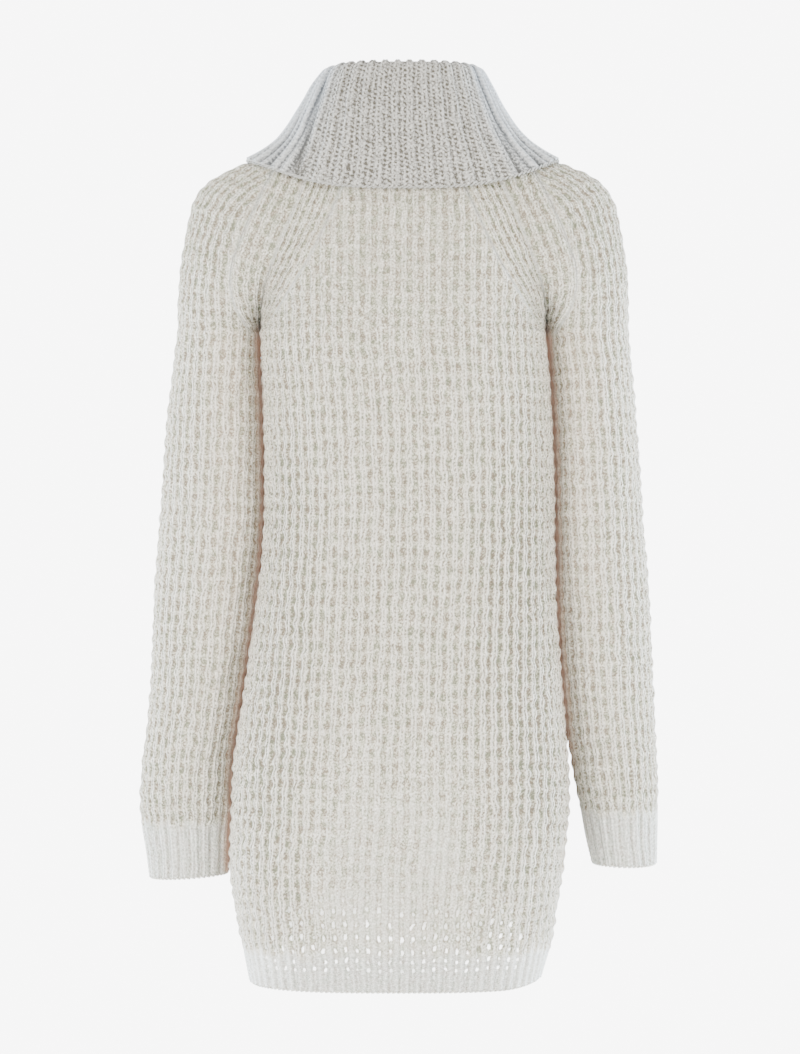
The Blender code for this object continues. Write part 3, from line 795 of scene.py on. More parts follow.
@dataclass(frozen=True)
class CollarRib:
    """The collar's wide rib: two plain wales, then a furrow of purl wales with pin holes."""

    crest: float = 0.0011
    furrow: float = 0.0009
    course: float = 0.0048
    plain_side: Span = Span(0.15, 0.29)    # where the plain wales fall off, in ribs
    groove: float = 0.0004        # between the plain wales
    groove_side: Span = Span(0.0, 0.08)
    purl: float = 0.00018         # height of a purl stitch
    purl_slant: float = 2.0       # courses that the purl stitches lean, to a rib
    sway: Waver = Waver(0.05, 1.2, 0.25)
    drift: Waver = Waver(0.20, 1.6, 0.4, 31.5)
    front: Span = Span(104.0, 132.0)       # bearings where the crowded sides end
    crowded: Span = Span(46.0, 64.0)       # and where they begin
    drawn: Span = Span(46.0, 62.0)         # bearings where the knit is drawn smooth
    top: Span = Span(0.0, 0.2)    # shares of the turned part where the ridges and creases begin
    ridge: float = 0.0017         # of the narrow ridges at the sides
    ridge_power: float = 0.6
    ridge_swell: float = 2.0
    ridge_sink: float = 1.1
    furrow_shade: float = 0.64    # between the ridges
    painted_side_light: float = 0.30      # painted light that makes the crowded sides look lighter
    smooth: float = 0.88          # how much less of the knit shows at the sides' top
    smooth_loss: float = 0.45     # and how much of that is back at their foot
    crease_shade: float = 180.0   # for each metre of a crease's depth
    seed: int = 37

    def coordinates(self, rib: Array, course: Array) -> tuple[Array, Array]:
        """Give the knit's coordinates the yarn's own unevenness.

        Args:
            rib: Even rib coordinates.
            course: Even course coordinates.

        Returns:
            The uneven ones.
        """
        noise = Noise(self.seed)
        return (rib + self.sway.of(noise, rib, course), course + self.drift.of(noise, rib, course))

    def relief(self, rib: Array, course: Array) -> Relief:
        """Work out the rib.

        Args:
            rib: Rib coordinates, with the plain wales on each half one.
            course: Course coordinates.

        Returns:
            Its relief.
        """
        off = np.abs(rib - np.floor(rib) - 0.5)
        purl = np.cos(2 * math.pi * (course + self.purl_slant * off))
        return Relief.of(-self.furrow + (self.crest + self.furrow) * fall(off, *self.plain_side)
                         - self.groove * fall(off, *self.groove_side) + self.purl * purl)

    def press(self, relief: Relief, rib: Array, bearing: Array, down: Array) -> None:
        """Crowd the ribs into narrow ridges at the sides and press in the sharp creases, with painted
        shade in the furrows and creases and painted light over the sides.

        Args:
            relief: The rib, changed in place.
            rib: The rib coordinate of each point.
            bearing: Of each point, in degrees from the middle of the back.
            down: How far down the turned part each point lies, from 0 to 1.
        """
        away = np.abs(bearing)
        side, turned = fall(away, *self.front), ramp(down, *self.top)
        crowd = side * ramp(away, *self.crowded) * turned
        ridge = 0.5 + 0.5 * np.cos(4 * math.pi * rib)
        height = self.ridge * (self.ridge_swell * ridge ** self.ridge_power - self.ridge_sink)
        relief.rise = relief.rise * (1.0 - crowd) + crowd * height
        # painted shade in the furrows, and painted light over the crowded sides
        relief.hollow = crowd * (self.furrow_shade * (1.0 - ridge) ** 2 - self.painted_side_light)
        smooth = self.smooth - self.smooth_loss * down ** 2
        relief.knit = 1.0 - side * ramp(away, *self.drawn) * smooth
        for crease in COLLAR_CREASES:
            line = crease.angle + crease.lean * down
            press = turned * np.exp(-((bearing - line) / crease.reach) ** 2)
            relief.rise -= crease.depth * press
            relief.hollow += self.crease_shade * crease.depth * press


@dataclass
class Grid:
    """A piece's outer face: its places, its ways into the cloth and its knit."""

    outer: Array                  # rows, columns, 3
    inwards: Array
    thickness: float
    wale: Array                   # knit coordinates, kept as the piece's UV map
    course: Array
    relief: Relief
    closed_rows: int = 0          # the first rows that close on themselves
    coarse: int = COARSE

    def plain_area(self) -> float:
        """The area of the plain outer face."""
        across, along = np.diff(self.outer[:-1], axis=1), np.diff(self.outer[:, :-1], axis=0)
        return float(np.linalg.norm(np.cross(across, along), axis=2).sum())

    def cut_size(self) -> tuple[float, float]:
        """The width and the length that the piece has when it lies flat."""
        return (float(rows_length(self.outer)[:, -1].max()),
                float(columns_length(self.outer)[-1].max()))

    def inner(self) -> Array:
        """The points of the inner face."""
        return self.outer + self.thickness * self.inwards

    def tree(self) -> BVHTree:
        """Make a tree of both plain faces, for distances.

        Returns:
            The tree.
        """
        rows, columns = self.outer.shape[:2]
        numbers = np.arange(rows * columns).reshape(rows, columns)[::2, ::2]
        quads = corners_of_cells(numbers).reshape(-1, 4)
        points = np.concatenate([self.outer.reshape(-1, 3), self.inner().reshape(-1, 3)])
        return BVHTree.FromPolygons(points.tolist(),
                                    np.concatenate([quads, quads + rows * columns]).tolist())

    def keep_clear(self, trees: Sequence[BVHTree], reach: float, margin: float) -> None:
        """Hold the knit back where another face is near, so that the two don't meet, and paint warm
        shade there under the arms.

        Args:
            trees: The other faces.
            reach: How near counts.
            margin: What is left free on this side.
        """
        flat = self.outer.reshape(-1, 3)
        room = np.full(len(flat), reach)
        for tree in trees:
            for number, point in enumerate(flat):
                hit = tree.find_nearest(Vector(point), reach)
                if hit[3] is not None:
                    room[number] = min(room[number], hit[3])
        room = room.reshape(self.relief.rise.shape)
        limit = np.where(room < reach, room / 2 - margin, np.inf)
        self.relief.rise = np.minimum(self.relief.rise, limit)
        # painted warm shade where the other piece lies close, under the arms
        closeness = fall(room, GAP_SHADE_CORE * reach, reach)
        under_arm = fall(self.outer[..., 2], *GAP_SHADE_TOP)
        self.relief.crease = under_arm * np.maximum(self.relief.crease, closeness)


class Shell:
    """Builds the closed mesh of a grid: the knitted outer face, the plain inner face, the rims."""

    def __init__(self, grid: Grid) -> None:
        """Start with no points.

        Args:
            grid: What to build.
        """
        self.grid = grid
        self.points: list[tuple[float, ...]] = []
        self.values: list[tuple[float, ...]] = []
        self.faces: list[tuple[int, ...]] = []
        self.uvs: list[tuple[float, ...]] = []

    def add_face(self, places: Array, values: Array, stride: int) -> tuple[NDArray, NDArray]:
        """Add one face's points and quads.

        Args:
            places: Its points by row and column, already thinned by `stride`.
            values: The knit's values at each.
            stride: How many fine steps one of its steps is.

        Returns:
            The point numbers and the knit coordinates, by row and column.
        """
        rows, columns = places.shape[:2]
        numbers = np.zeros((rows, columns), dtype=int)
        for row in range(rows):
            closed = row * stride < self.grid.closed_rows
            count = columns - 1 if closed else columns
            numbers[row, :count] = np.arange(len(self.points), len(self.points) + count)
            if closed:
                numbers[row, -1] = numbers[row, 0]
            self.points.extend(map(tuple, places[row, :count]))
            self.values.extend(map(tuple, values[row, :count]))
        uvs = np.stack([self.grid.wale, self.grid.course], axis=-1)[::stride, ::stride]
        self.faces.extend(map(tuple, corners_of_cells(numbers).reshape(-1, 4).tolist()))
        self.uvs.extend(map(tuple, corners_of_cells(uvs).reshape(-1, 2).tolist()))
        return numbers, uvs

    def bridge(self, coarse: tuple[NDArray, NDArray], fine: tuple[NDArray, NDArray]) -> None:
        """Join a coarse line and a fine one by a rim.

        Args:
            coarse: Point numbers and knit coordinates along the coarse line.
            fine: The same along the fine line, which has a whole number of steps to each coarse one.
        """
        ratio = (len(fine[0]) - 1) // (len(coarse[0]) - 1)
        for step in range(len(coarse[0]) - 1):
            run = slice(ratio * step, ratio * (step + 1) + 1)
            numbers, uvs = fine[0][run], fine[1][run]
            middle = ratio // 2
            low = (coarse[0][step], coarse[1][step])
            high = (coarse[0][step + 1], coarse[1][step + 1])
            self.add_triangle([low, high, (numbers[middle], uvs[middle])])
            for place in range(ratio):
                self.add_triangle([low if place < middle else high,
                                   (numbers[place + 1], uvs[place + 1]),
                                   (numbers[place], uvs[place])])

    def add_triangle(self, corners: Sequence[tuple[int, Array]]) -> None:
        """Add one triangle, with its knit coordinates."""
        self.faces.append(tuple(int(number) for number, _ in corners))
        self.uvs.extend(tuple(uv) for _, uv in corners)

    def build(self, name: str, material: bpy.types.Material) -> bpy.types.Object:
        """Make the mesh object.

        Args:
            name: Of the piece.
            material: Its yarn.

        Returns:
            The piece.
        """
        grid, relief = self.grid, self.grid.relief
        raised = grid.outer - relief.rise[..., None] * grid.inwards
        values = np.stack([getattr(relief, attribute) for attribute in KNIT_ATTRIBUTES], axis=-1)
        out = self.add_face(raised, values, 1)
        stride = grid.coarse
        inner = grid.inner()[::stride, ::stride]
        inner_values = np.broadcast_to(INNER_KNIT, (*inner.shape[:2], len(INNER_KNIT)))
        within = self.add_face(inner, inner_values, stride)
        for end in (0, -1):
            self.bridge((within[0][end], within[1][end]), (out[0][end], out[1][end]))
        if grid.closed_rows < len(grid.outer):
            first = max(grid.closed_rows - 1, 0)
            for end in (0, -1):
                self.bridge((within[0][first // stride:, end], within[1][first // stride:, end]),
                            (out[0][first:, end], out[1][first:, end]))
        piece = make_mesh(name, self.points, self.faces, material)
        piece.data.uv_layers.new(name=KNIT_MAP).data.foreach_set(
            "uv", np.array(self.uvs, np.float32).ravel())
        for attribute, column in zip(KNIT_ATTRIBUTES, np.array(self.values, np.float32).T):
            layer = piece.data.attributes.new(attribute, "FLOAT", "POINT")
            layer.data.foreach_set("value", np.ascontiguousarray(column))
        face_outwards(piece.data)
        return piece


def corners_of_cells(grid: NDArray) -> NDArray:
    """The four corners of each cell of a grid, in turn round the cell."""
    return np.stack([grid[:-1, :-1], grid[:-1, 1:], grid[1:, 1:], grid[1:, :-1]], axis=2)


def make_mesh(name: str, points: Sequence, faces: Sequence,
              material: bpy.types.Material) -> bpy.types.Object:
    """Make a mesh object at the origin, in the scene.

    Args:
        name: Of the object and its mesh.
        points: Their places.
        faces: The point numbers of each face.
        material: For all of them.

    Returns:
        The object.
    """
    mesh = bpy.data.meshes.new(name)
    mesh.from_pydata(points, [], faces)
    mesh.materials.append(material)
    return show(bpy.data.objects.new(name, mesh))


def show(thing: bpy.types.Object) -> bpy.types.Object:
    """Put an object in the scene."""
    bpy.context.scene.collection.objects.link(thing)
    return thing


def face_outwards(mesh: bpy.types.Mesh) -> None:
    """Turn a closed mesh's faces outwards and shade it smooth.

    Args:
        mesh: Changed in place.
    """
    shape = bmesh.new()
    shape.from_mesh(mesh)
    bmesh.ops.recalc_face_normals(shape, faces=shape.faces)
    shape.to_mesh(mesh)
    shape.free()
    mesh.shade_smooth()


def columns_length(grid: Array) -> Array:
    """The length along each column of a grid, from its first row."""
    steps = np.linalg.norm(np.diff(grid, axis=0), axis=2)
    return np.concatenate([np.zeros((1, grid.shape[1])), np.cumsum(steps, axis=0)])


def rows_length(grid: Array) -> Array:
    """The length along each row of a grid, from its first column."""
    return columns_length(grid.swapaxes(0, 1)).T


def yoke_wales(yoke: Array, wales: int, edge_wales: float) -> tuple[Array, Array]:
    """Wale coordinates over the underarm, where the outer wales run along the seams.

    Args:
        yoke: The grid's rows from the underarm up.
        wales: How many wales the underarm row has.
        edge_wales: How many run along each seam.

    Returns:
        The coordinates, and the distance in wales from where two runs of wales meet.
    """
    along = rows_length(yoke)
    total = along[:, -1:]
    pitch = total[0, 0] / wales
    from_middle = (along - total / 2) / pitch
    from_seam = (total / 2 - np.abs(along - total / 2)) / pitch
    edge = np.where(from_middle < 0, from_seam, wales - from_seam)
    return (np.where(from_seam < edge_wales, edge, wales / 2 + from_middle),
            from_seam - edge_wales)


@dataclass(frozen=True)
class PanelWear:
    """How the knit of a panel is stretched and lit through as it hangs, and where painted light and
    shade lie on it.

    Spans across are in metres from the panel's middle, and spans of height from the hem.
    """

    middle: float = -0.006        # of the panel, along X
    patch: tuple[float, float] = (0.035, 0.030)    # width and height of uneven patches
    seed: int = 71
    glint_sides: Span = Span(0.105, 0.150)         # where light comes through, near the hem
    glint_top: Span = Span(0.040, 0.105)
    glint_foot: Span = Span(0.010, 0.024)
    glint: float = 0.85
    glint_patches: float = 0.55
    bold: float = 0.30            # how much bolder the knit is at the sides
    bold_sides: Span = Span(0.050, 0.115)
    bold_top: Span = Span(0.42, 0.60)
    stretched_top: Span = Span(0.10, 0.30)         # the smooth lower middle
    stretched_sides: Span = Span(0.03, 0.15)
    stretched: float = 0.62
    stretched_patches: float = 0.20
    stretched_shade: float = 0.22
    yoke_foot: Span = Span(0.54, 0.72)             # the smooth middle of the yoke
    yoke_sides: Span = Span(0.05, 0.13)
    yoke: float = 0.42
    yoke_shade: float = 0.34
    softest: float = 0.80         # the most that the knit is softened
    lit_corner_sides: Span = Span(0.09, 0.14)         # painted light on the lower corners
    lit_corner_top: Span = Span(0.06, 0.20)
    painted_corner_light: float = 0.42

    def apply(self, relief: Relief, outer: Array) -> None:
        """Wear the knit.

        Args:
            relief: Changed in place.
            outer: The panel's points.
        """
        across, height = np.abs(outer[..., 0] - self.middle), outer[..., 2] - HEM_HEIGHT
        patches = Noise(self.seed).at(outer[..., 0] / self.patch[0], outer[..., 2] / self.patch[1])
        level = fall(across, *self.glint_sides) * fall(height, *self.glint_top)
        level *= ramp(height, *self.glint_foot)
        relief.glint = np.clip(level * (self.glint + self.glint_patches * patches), 0.0, 1.0)
        relief.scale(1.0 + self.bold * ramp(across, *self.bold_sides) * fall(height, *self.bold_top))
        stretched = fall(height, *self.stretched_top) * fall(across, *self.stretched_sides)
        yoke = ramp(height, *self.yoke_foot) * fall(across, *self.yoke_sides)
        soft = stretched * (self.stretched + self.stretched_patches * patches) + self.yoke * yoke
        relief.soften(np.clip(soft, 0.0, self.softest))
        # painted light on the lower corners, and painted shade over the yoke and the smooth lower
        # middle
        settled = ramp(across, *self.lit_corner_sides) * fall(height, *self.lit_corner_top)
        relief.hollow += (self.yoke_shade * yoke + self.stretched_shade * stretched
                          - self.painted_corner_light * settled)


@dataclass
class Panel:
    """The back or the front, with its ribbed hem."""

    face: Face
    name: str
    columns: int = 292
    wales: int = 42
    hem_rows: int = 18
    body_rows: int = 234
    courses: int = 42             # from the hem band to the underarms
    yoke_rows: int = 64
    edge_wales: float = 4.0
    crowding: float = 0.143
    settling: float = 0.04
    wear: PanelWear = PanelWear()

    @property
    def underarm(self) -> int:
        """The row at the underarms."""
        return self.hem_rows + self.body_rows

    def grid(self) -> Grid:
        """Work out the panel's outer face and its knit.

        Returns:
            The grid.
        """
        band_end = HEM_HEIGHT + HEM_BAND
        hem = np.linspace(HEM_HEIGHT, band_end, self.hem_rows + 1)
        body = np.linspace(band_end, UNDERARM_HEIGHT, self.body_rows + 1)
        rises = yoke_rises(self.yoke_rows)
        outer = np.array([divide_evenly(panel_row(self.face, level), self.columns)
                          for level in [*hem[:-1], *body, *rises[1:]]])
        inwards = int(self.face) * grid_normals(outer)
        inwards[-1] = divide_evenly(panel_neck(self.face), self.columns)[:, 3:]
        for column, side in ((0, Side.LEFT), (-1, Side.RIGHT)):
            inwards[:self.underarm, column] = (-float(side), 0.0, 0.0)
            outer[:self.underarm + 1, column, 1] += self.face * SEAM_GAP / 2
            for row, rise in enumerate(rises, start=self.underarm):
                inwards[row, column], across = seam_way(side, self.face, rise, Owner.PANEL)
                outer[row, column] -= across * SEAM_GAP / 2

        knit = KnitLayout(outer, self.wales, self.courses, self.hem_rows, self.underarm,
                          self.edge_wales, self.crowding, self.settling)
        wale, course, relief = knit.waffle(WaffleStitch())
        knit_band(relief, knit.wale + 0.5, outer, self.hem_rows, BandRib())
        knit.fade_edges(relief, slice(None))
        self.wear.apply(relief, outer)
        return Grid(outer, inwards, WALL, wale, course, relief)


def knit_band(relief: Relief, rib: Array, outer: Array, band_rows: int, stitch: BandRib) -> None:
    """Knit a rib band in a piece's first rows, and blend it into the knit over them.

    Args:
        relief: The piece's knit, changed in place.
        rib: The rib coordinate of each of its points.
        outer: Its points.
        band_rows: How many rows the band has.
        stitch: The band's knit.
    """
    start, end = BAND_BLEND
    rows = band_rows + end + BAND_UNEVENNESS
    band = stitch.relief(rib[:rows], columns_length(outer[:rows]))
    columns = np.arange(outer.shape[1])[None] / BAND_PACE
    uneven = BAND_UNEVENNESS * Noise(BAND_SEED).at(columns, np.zeros((1, 1)))
    share = ramp(np.arange(rows)[:, None] + uneven, band_rows + start, band_rows + end)
    for name in ("rise", "hollow", "knit"):
        low, high = getattr(band, name), getattr(relief, name)
        high[:rows] = low * (1 - share) + high[:rows] * share


@dataclass
class KnitLayout:
    """Where the wales and courses lie on a piece's grid."""

    outer: Array
    wales: int
    courses: int                  # between the band and the underarm
    band_rows: int
    underarm: int                 # the row
    edge_wales: float             # how many run along each raglan seam
    crowding: float = 0.0         # how much closer the wales lie at the sides, higher up
    settling: float = 0.0         # how much closer the lowest courses lie
    crowding_start: Span = Span(0.3, 0.7)  # in shares of the height to the underarm
    settling_power: int = 6
    join_reach: float = 0.45      # in wales, where two runs of wales meet
    join_depth: float = 0.0006
    edge_reach: float = 0.4       # in wales, where the knit ends at a seam
    fade: Span = Span(0.006, 0.045)        # from the underarm
    fade_rise: float = 0.85
    fade_knit: float = 0.50

    def __post_init__(self) -> None:
        """Work out the coordinates."""
        rows, columns = self.outer.shape[:2]
        self.wale = np.tile(np.linspace(0.0, self.wales, columns), (rows, 1))
        share = (np.arange(rows) - self.band_rows) / (self.underarm - self.band_rows)
        settled = 1.0 - share - (1.0 - share) ** self.settling_power
        course = (share + self.settling * settled) * self.courses
        yoke = self.outer[self.underarm:]
        course[self.underarm:] = self.courses + columns_length(yoke).mean(axis=1) / COURSE
        self.course = np.tile(course[:, None], (1, columns))
        self.meeting = np.full((rows, columns), np.inf)
        self.wale[self.underarm:], self.meeting[self.underarm:] = yoke_wales(
            yoke, self.wales, self.edge_wales)
        place = 2.0 * self.wale / self.wales - 1.0
        crowd = self.crowding * ramp(share, *self.crowding_start)[:, None]
        self.wale = self.wales / 2 * (1.0 + place - crowd * (place - place ** 3))

    def waffle(self, stitch: WaffleStitch) -> tuple[Array, Array, Relief]:
        """Knit the piece in waffle.

        Args:
            stitch: The knit.

        Returns:
            Its uneven wale and course coordinates, and its relief.
        """
        wale, course = stitch.coordinates(self.wale, self.course)
        relief = stitch.relief(wale, course)
        join = ramp(np.abs(self.meeting), 0.0, self.join_reach)
        relief.rise = relief.rise * join - self.join_depth * (1 - join)
        relief.knit = join
        return wale, course, relief

    def fade_edges(self, relief: Relief, rows: slice) -> None:
        """Bring the knit down to the plain cloth along its seams and at the underarms.

        Args:
            relief: Changed in place.
            rows: Those that have seams.
        """
        from_seam = np.minimum(self.wale, self.wales - self.wale)[rows]
        edge = ramp(from_seam, 0.0, self.edge_reach)
        relief.rise[rows] *= edge
        relief.knit[rows] *= edge
        for column in (0, -1):
            away = np.linalg.norm(self.outer - self.outer[self.underarm, column], axis=2)
            near = fall(away, *self.fade)
            relief.rise *= 1.0 - self.fade_rise * near
            relief.knit *= 1.0 - self.fade_knit * near


SLEEVE_SEEDS = {Side.LEFT: 11, Side.RIGHT: 19}


@dataclass
class Sleeve:
    """A raglan sleeve, with its ribbed cuff."""

    side: Side
    name: str
    columns: int = 240
    wales: int = 30
    ribs: int = 22
    cuff_rows: int = 23
    tube_rows: int = 221
    courses: int = 32             # from the cuff to the underarm
    yoke_rows: int = 88
    edge_wales: float = 3.5
    cuff: BandRib = BandRib(lift=0.06, seed=29)
    shoulder: Span = Span(-0.17, -0.06)    # heights over which the shoulder's knit grows smooth
    smooth: float = 0.34
    shade: float = 0.42
    inner_shade_reach: Span = Span(0.0, 0.060)   # inwards from its start, over which the painted warm shade of the inner half comes in
    inner_shade_start: float = 0.22
    # painted warm shade on the sleeve's inner half
    inner_shade: float = 0.27

    def grid(self) -> Grid:
        """Work out the sleeve's outer face and its knit.

        Returns:
            The grid.
        """
        foot = SLEEVES[self.side][0].height
        cuff = np.linspace(foot, foot + CUFF_BAND, self.cuff_rows + 1)
        tube = np.linspace(foot + CUFF_BAND, UNDERARM_HEIGHT, self.tube_rows + 1)
        rises = yoke_rises(self.yoke_rows)
        underarm = self.cuff_rows + self.tube_rows
        rings = [sleeve_ring(self.side, height) for height in [*cuff[:-1], *tube[:-1]]]
        arcs = [sleeve_arc(self.side, rise) for rise in rises]
        outer = np.array([divide_evenly(line, self.columns) for line in rings + arcs])
        inwards = -int(self.side) * grid_normals(outer, closed_rows=underarm + 1)
        inwards[-1] = divide_evenly(sleeve_neck(self.side), self.columns)[:, 3:]
        for column, face in ((0, Face.BACK), (-1, Face.FRONT)):
            for row, rise in enumerate(rises, start=underarm):
                inwards[row, column], across = seam_way(self.side, face, rise, Owner.SLEEVE)
                outer[row, column] += across * SEAM_GAP / 2

        knit = KnitLayout(outer, self.wales, self.courses, self.cuff_rows, underarm,
                          self.edge_wales)
        wale, course, relief = knit.waffle(WaffleStitch(seed=SLEEVE_SEEDS[self.side]))
        rib = np.tile(np.linspace(0.0, self.ribs, self.columns + 1), (len(outer), 1))
        knit_band(relief, rib, outer, self.cuff_rows, self.cuff)
        knit.fade_edges(relief, slice(underarm, None))
        shoulder = ramp(outer[..., 2], *self.shoulder)
        relief.soften(self.smooth * shoulder)
        # painted shade on the shoulder
        relief.hollow += self.shade * shoulder
        # painted warm shade on the inner half of the sleeve
        inner = ramp(self.inner_shade_start - self.side * outer[..., 0], *self.inner_shade_reach)
        relief.crease = self.inner_shade * inner
        return Grid(outer, inwards, WALL, wale, course, relief, closed_rows=underarm + 1)


@dataclass
class Collar:
    """The folded rib collar."""

    name: str
    ribs: int = 38
    rib_columns: int = 12
    panel_steps: int = 132
    sleeve_steps: int = 96
    foot_rows: int = 8
    stand_rows: int = 20
    turned_rows: int = 160
    stand_end: float = 2.0        # key of the row where the stand ends
    trial_rows: int = 400         # for the lengths along the table
    plain_rows: float = 6.0       # at the foot, over which the rib begins
    stitch: CollarRib = CollarRib()

    def foot(self) -> Array:
        """Join the neck edges of all four pieces, from the middle of the back round by +X.

        Returns:
            The places, and the wall's way into the cloth at each, in six columns.
        """
        back = divide_evenly(panel_neck(Face.BACK), self.panel_steps)
        front = divide_evenly(panel_neck(Face.FRONT), self.panel_steps)[::-1]
        right = divide_evenly(sleeve_neck(Side.RIGHT), self.sleeve_steps)
        left = divide_evenly(sleeve_neck(Side.LEFT), self.sleeve_steps)[::-1]
        middle = self.panel_steps // 2
        return np.concatenate([back[middle:], right[1:], front[1:], left[1:],
                               back[1:middle + 1]])

    def keys(self) -> Array:
        """Space the fine rows evenly along the stand, and along the turned part.

        Returns:
            The key of each row.
        """
        trial = np.linspace(0.0, COLLAR[-1].key, self.trial_rows)
        places = np.array([[row.half_width, row.side_z, row.back_depth, row.back_z]
                           for row in (smooth_row(COLLAR, key) for key in trial)])
        steps = np.linalg.norm(np.diff(places, axis=0), axis=1)
        length = np.concatenate(([0.0], np.cumsum(steps)))
        end = float(np.interp(self.stand_end, trial, length))
        stand = np.linspace(0.0, end, self.stand_rows + 1)
        turned = np.linspace(end, length[-1], self.turned_rows + 1)
        return np.interp([*stand, *turned[1:]], length, trial)

    def grid(self) -> Grid:
        """Work out the collar's shown face and its knit.

        Returns:
            The grid.
        """
        foot = self.foot()
        foot_line, wall_way = foot[:, :3], foot[:, 3:]
        along = np.roll(foot_line[:-1], -1, axis=0) - np.roll(foot_line[:-1], 1, axis=0)
        up = unit(np.cross(wall_way, np.concatenate([along, along[:1]])))
        up *= np.sign(up[:, 2:])
        stand_inner = foot_line + COLLAR_GAP * up + COLLAR_WALL * wall_way
        columns = self.ribs * self.rib_columns
        rings = np.array([divide_evenly(collar_ring(key), columns, smooth_row(COLLAR, key).spread)
                          for key in self.keys()])
        share = np.linspace(0.0, 1.0, self.foot_rows + 1)[:-1, None, None]
        shown = np.concatenate([stand_inner * (1 - share) + rings[0] * share, rings])
        to_hidden = grid_normals(shown, closed_rows=len(shown))
        to_hidden[0] = -wall_way

        course = columns_length(shown).mean(axis=1)[:, None] / self.stitch.course
        course = np.tile(course, (1, columns + 1))
        rib = np.tile(np.linspace(0.0, self.ribs, columns + 1), (len(shown), 1))
        rib, course = self.stitch.coordinates(rib, course)
        rib[:, -1] = rib[:, 0] + self.ribs
        relief = self.stitch.relief(rib, course)
        row = np.arange(len(shown), dtype=float)[:, None]
        turned = row - (len(shown) - self.turned_rows)
        down = np.clip(turned / self.turned_rows, 0.0, 1.0)
        self.stitch.press(relief, rib, bearings(shown), down)
        relief.rise *= ramp(row, 0.0, self.plain_rows)
        return Grid(shown, to_hidden, COLLAR_WALL, rib, course, relief, closed_rows=len(shown))


@dataclass(frozen=True)
class Term:
    """A value in a node tree, with arithmetic that adds the nodes it needs."""

    tree: bpy.types.NodeTree
    socket: bpy.types.NodeSocket

    def math(self, operation: str, *others: Term | float) -> Term:
        """Add a math node.

        Args:
            operation: What it does.
            others: Its other inputs.

        Returns:
            Its result.
        """
        node = self.tree.nodes.new("ShaderNodeMath")
        node.operation = operation
        for socket, value in zip(node.inputs, (self, *others)):
            if isinstance(value, Term):
                self.tree.links.new(value.socket, socket)
            else:
                socket.default_value = value
        return Term(self.tree, node.outputs[0])

    def __add__(self, other: Term | float) -> Term:
        """The sum."""
        return self.math("ADD", other)

    def __sub__(self, other: Term | float) -> Term:
        """The difference."""
        return self.math("SUBTRACT", other)

    def __mul__(self, other: Term | float) -> Term:
        """The product."""
        return self.math("MULTIPLY", other)

    def __pow__(self, power: float) -> Term:
        """The power."""
        return self.math("POWER", power)

    def rest(self) -> Term:
        """What is left to 1."""
        return self.math("MULTIPLY_ADD", -1.0, 1.0)

    def size(self) -> Term:
        """The value without its sign."""
        return self.math("ABSOLUTE")

    def from_whole(self) -> Term:
        """How far it is from the nearest whole number."""
        return ((self + 0.5).math("FRACT") - 0.5).size()

    def wave(self) -> Term:
        """A wave from 0 to 1, highest at whole numbers."""
        return (self * (2 * math.pi)).math("COSINE").math("MULTIPLY_ADD", 0.5, 0.5)

    def ramp(self, low: float, high: float) -> Term:
        """Add a smooth step.

        Args:
            low: Where it is 0.
            high: Where it is 1.

        Returns:
            The step.
        """
        node = self.tree.nodes.new("ShaderNodeMapRange")
        node.interpolation_type = "SMOOTHSTEP"
        self.tree.links.new(self.socket, node.inputs["Value"])
        node.inputs["From Min"].default_value = low
        node.inputs["From Max"].default_value = high
        return Term(self.tree, node.outputs[0])

    def fall(self, low: float, high: float) -> Term:
        """A smooth step from 1 at `low` to 0 at `high`."""
        return self.ramp(low, high).rest()

    def near(self, value: float, full: float, none: float) -> Term:
        """1 within `full` of a value, and 0 past `none` of it."""
        return (self - value).size().fall(full, none)

    def mix(self, low: Colour | bpy.types.NodeSocket,
            high: Colour | bpy.types.NodeSocket) -> bpy.types.NodeSocket:
        """Mix two colours at this share.

        Args:
            low: The colour at 0.
            high: The colour at 1.

        Returns:
            The colour between them.
        """
        node = self.tree.nodes.new("ShaderNodeMix")
        node.data_type = "RGBA"
        self.tree.links.new(self.socket, node.inputs["Factor"])
        for socket, colour in zip(node.inputs[6:8], (low, high)):
            if isinstance(colour, bpy.types.NodeSocket):
                self.tree.links.new(colour, socket)
            else:
                socket.default_value = (*colour, 1.0)
        return node.outputs[2]


def attribute_term(tree: bpy.types.NodeTree, name: str) -> Term:
    """Read one of the mesh's own values.

    Args:
        tree: The material's.
        name: Of the value.

    Returns:
        The value.
    """
    node = tree.nodes.new("ShaderNodeAttribute")
    node.attribute_name = name
    return Term(tree, node.outputs["Fac"])


def knit_terms(tree: bpy.types.NodeTree) -> tuple[Term, Term]:
    """Read the wale and course coordinates.

    Args:
        tree: The material's.

    Returns:
        The two coordinates.
    """
    uv = tree.nodes.new("ShaderNodeUVMap")
    uv.uv_map = KNIT_MAP
    parts = tree.nodes.new("ShaderNodeSeparateXYZ")
    tree.links.new(uv.outputs["UV"], parts.inputs[0])
    return Term(tree, parts.outputs[0]), Term(tree, parts.outputs[1])


class Pattern(NamedTuple):
    """What a stitch pattern gives the finish."""

    depth: Term                   # painted shade: 0 on the stitches, 1 in the pits
    height: Term                  # of the strands, for the bump
    spot: Term | None = None      # where light comes through


class Speckle(NamedTuple):
    """An unevenness of a finish."""

    scale: float                  # changes to a metre
    detail: float                 # how many finer noises it holds
    size: float = 1.0

    def noise(self, tree: bpy.types.NodeTree) -> Term:
        """Add a noise over the object's own coordinates.

        Args:
            tree: The material's.

        Returns:
            Its value, from 0 to 1.
        """
        places = tree.nodes.new("ShaderNodeTexCoord")
        node = tree.nodes.new("ShaderNodeTexNoise")
        node.inputs["Scale"].default_value = self.scale
        node.inputs["Detail"].default_value = self.detail
        tree.links.new(places.outputs["Object"], node.inputs["Vector"])
        return Term(tree, node.outputs[0])

    def term(self, tree: bpy.types.NodeTree) -> Term:
        """The noise about 0, in its own size."""
        return (self.noise(tree) - 0.5) * self.size


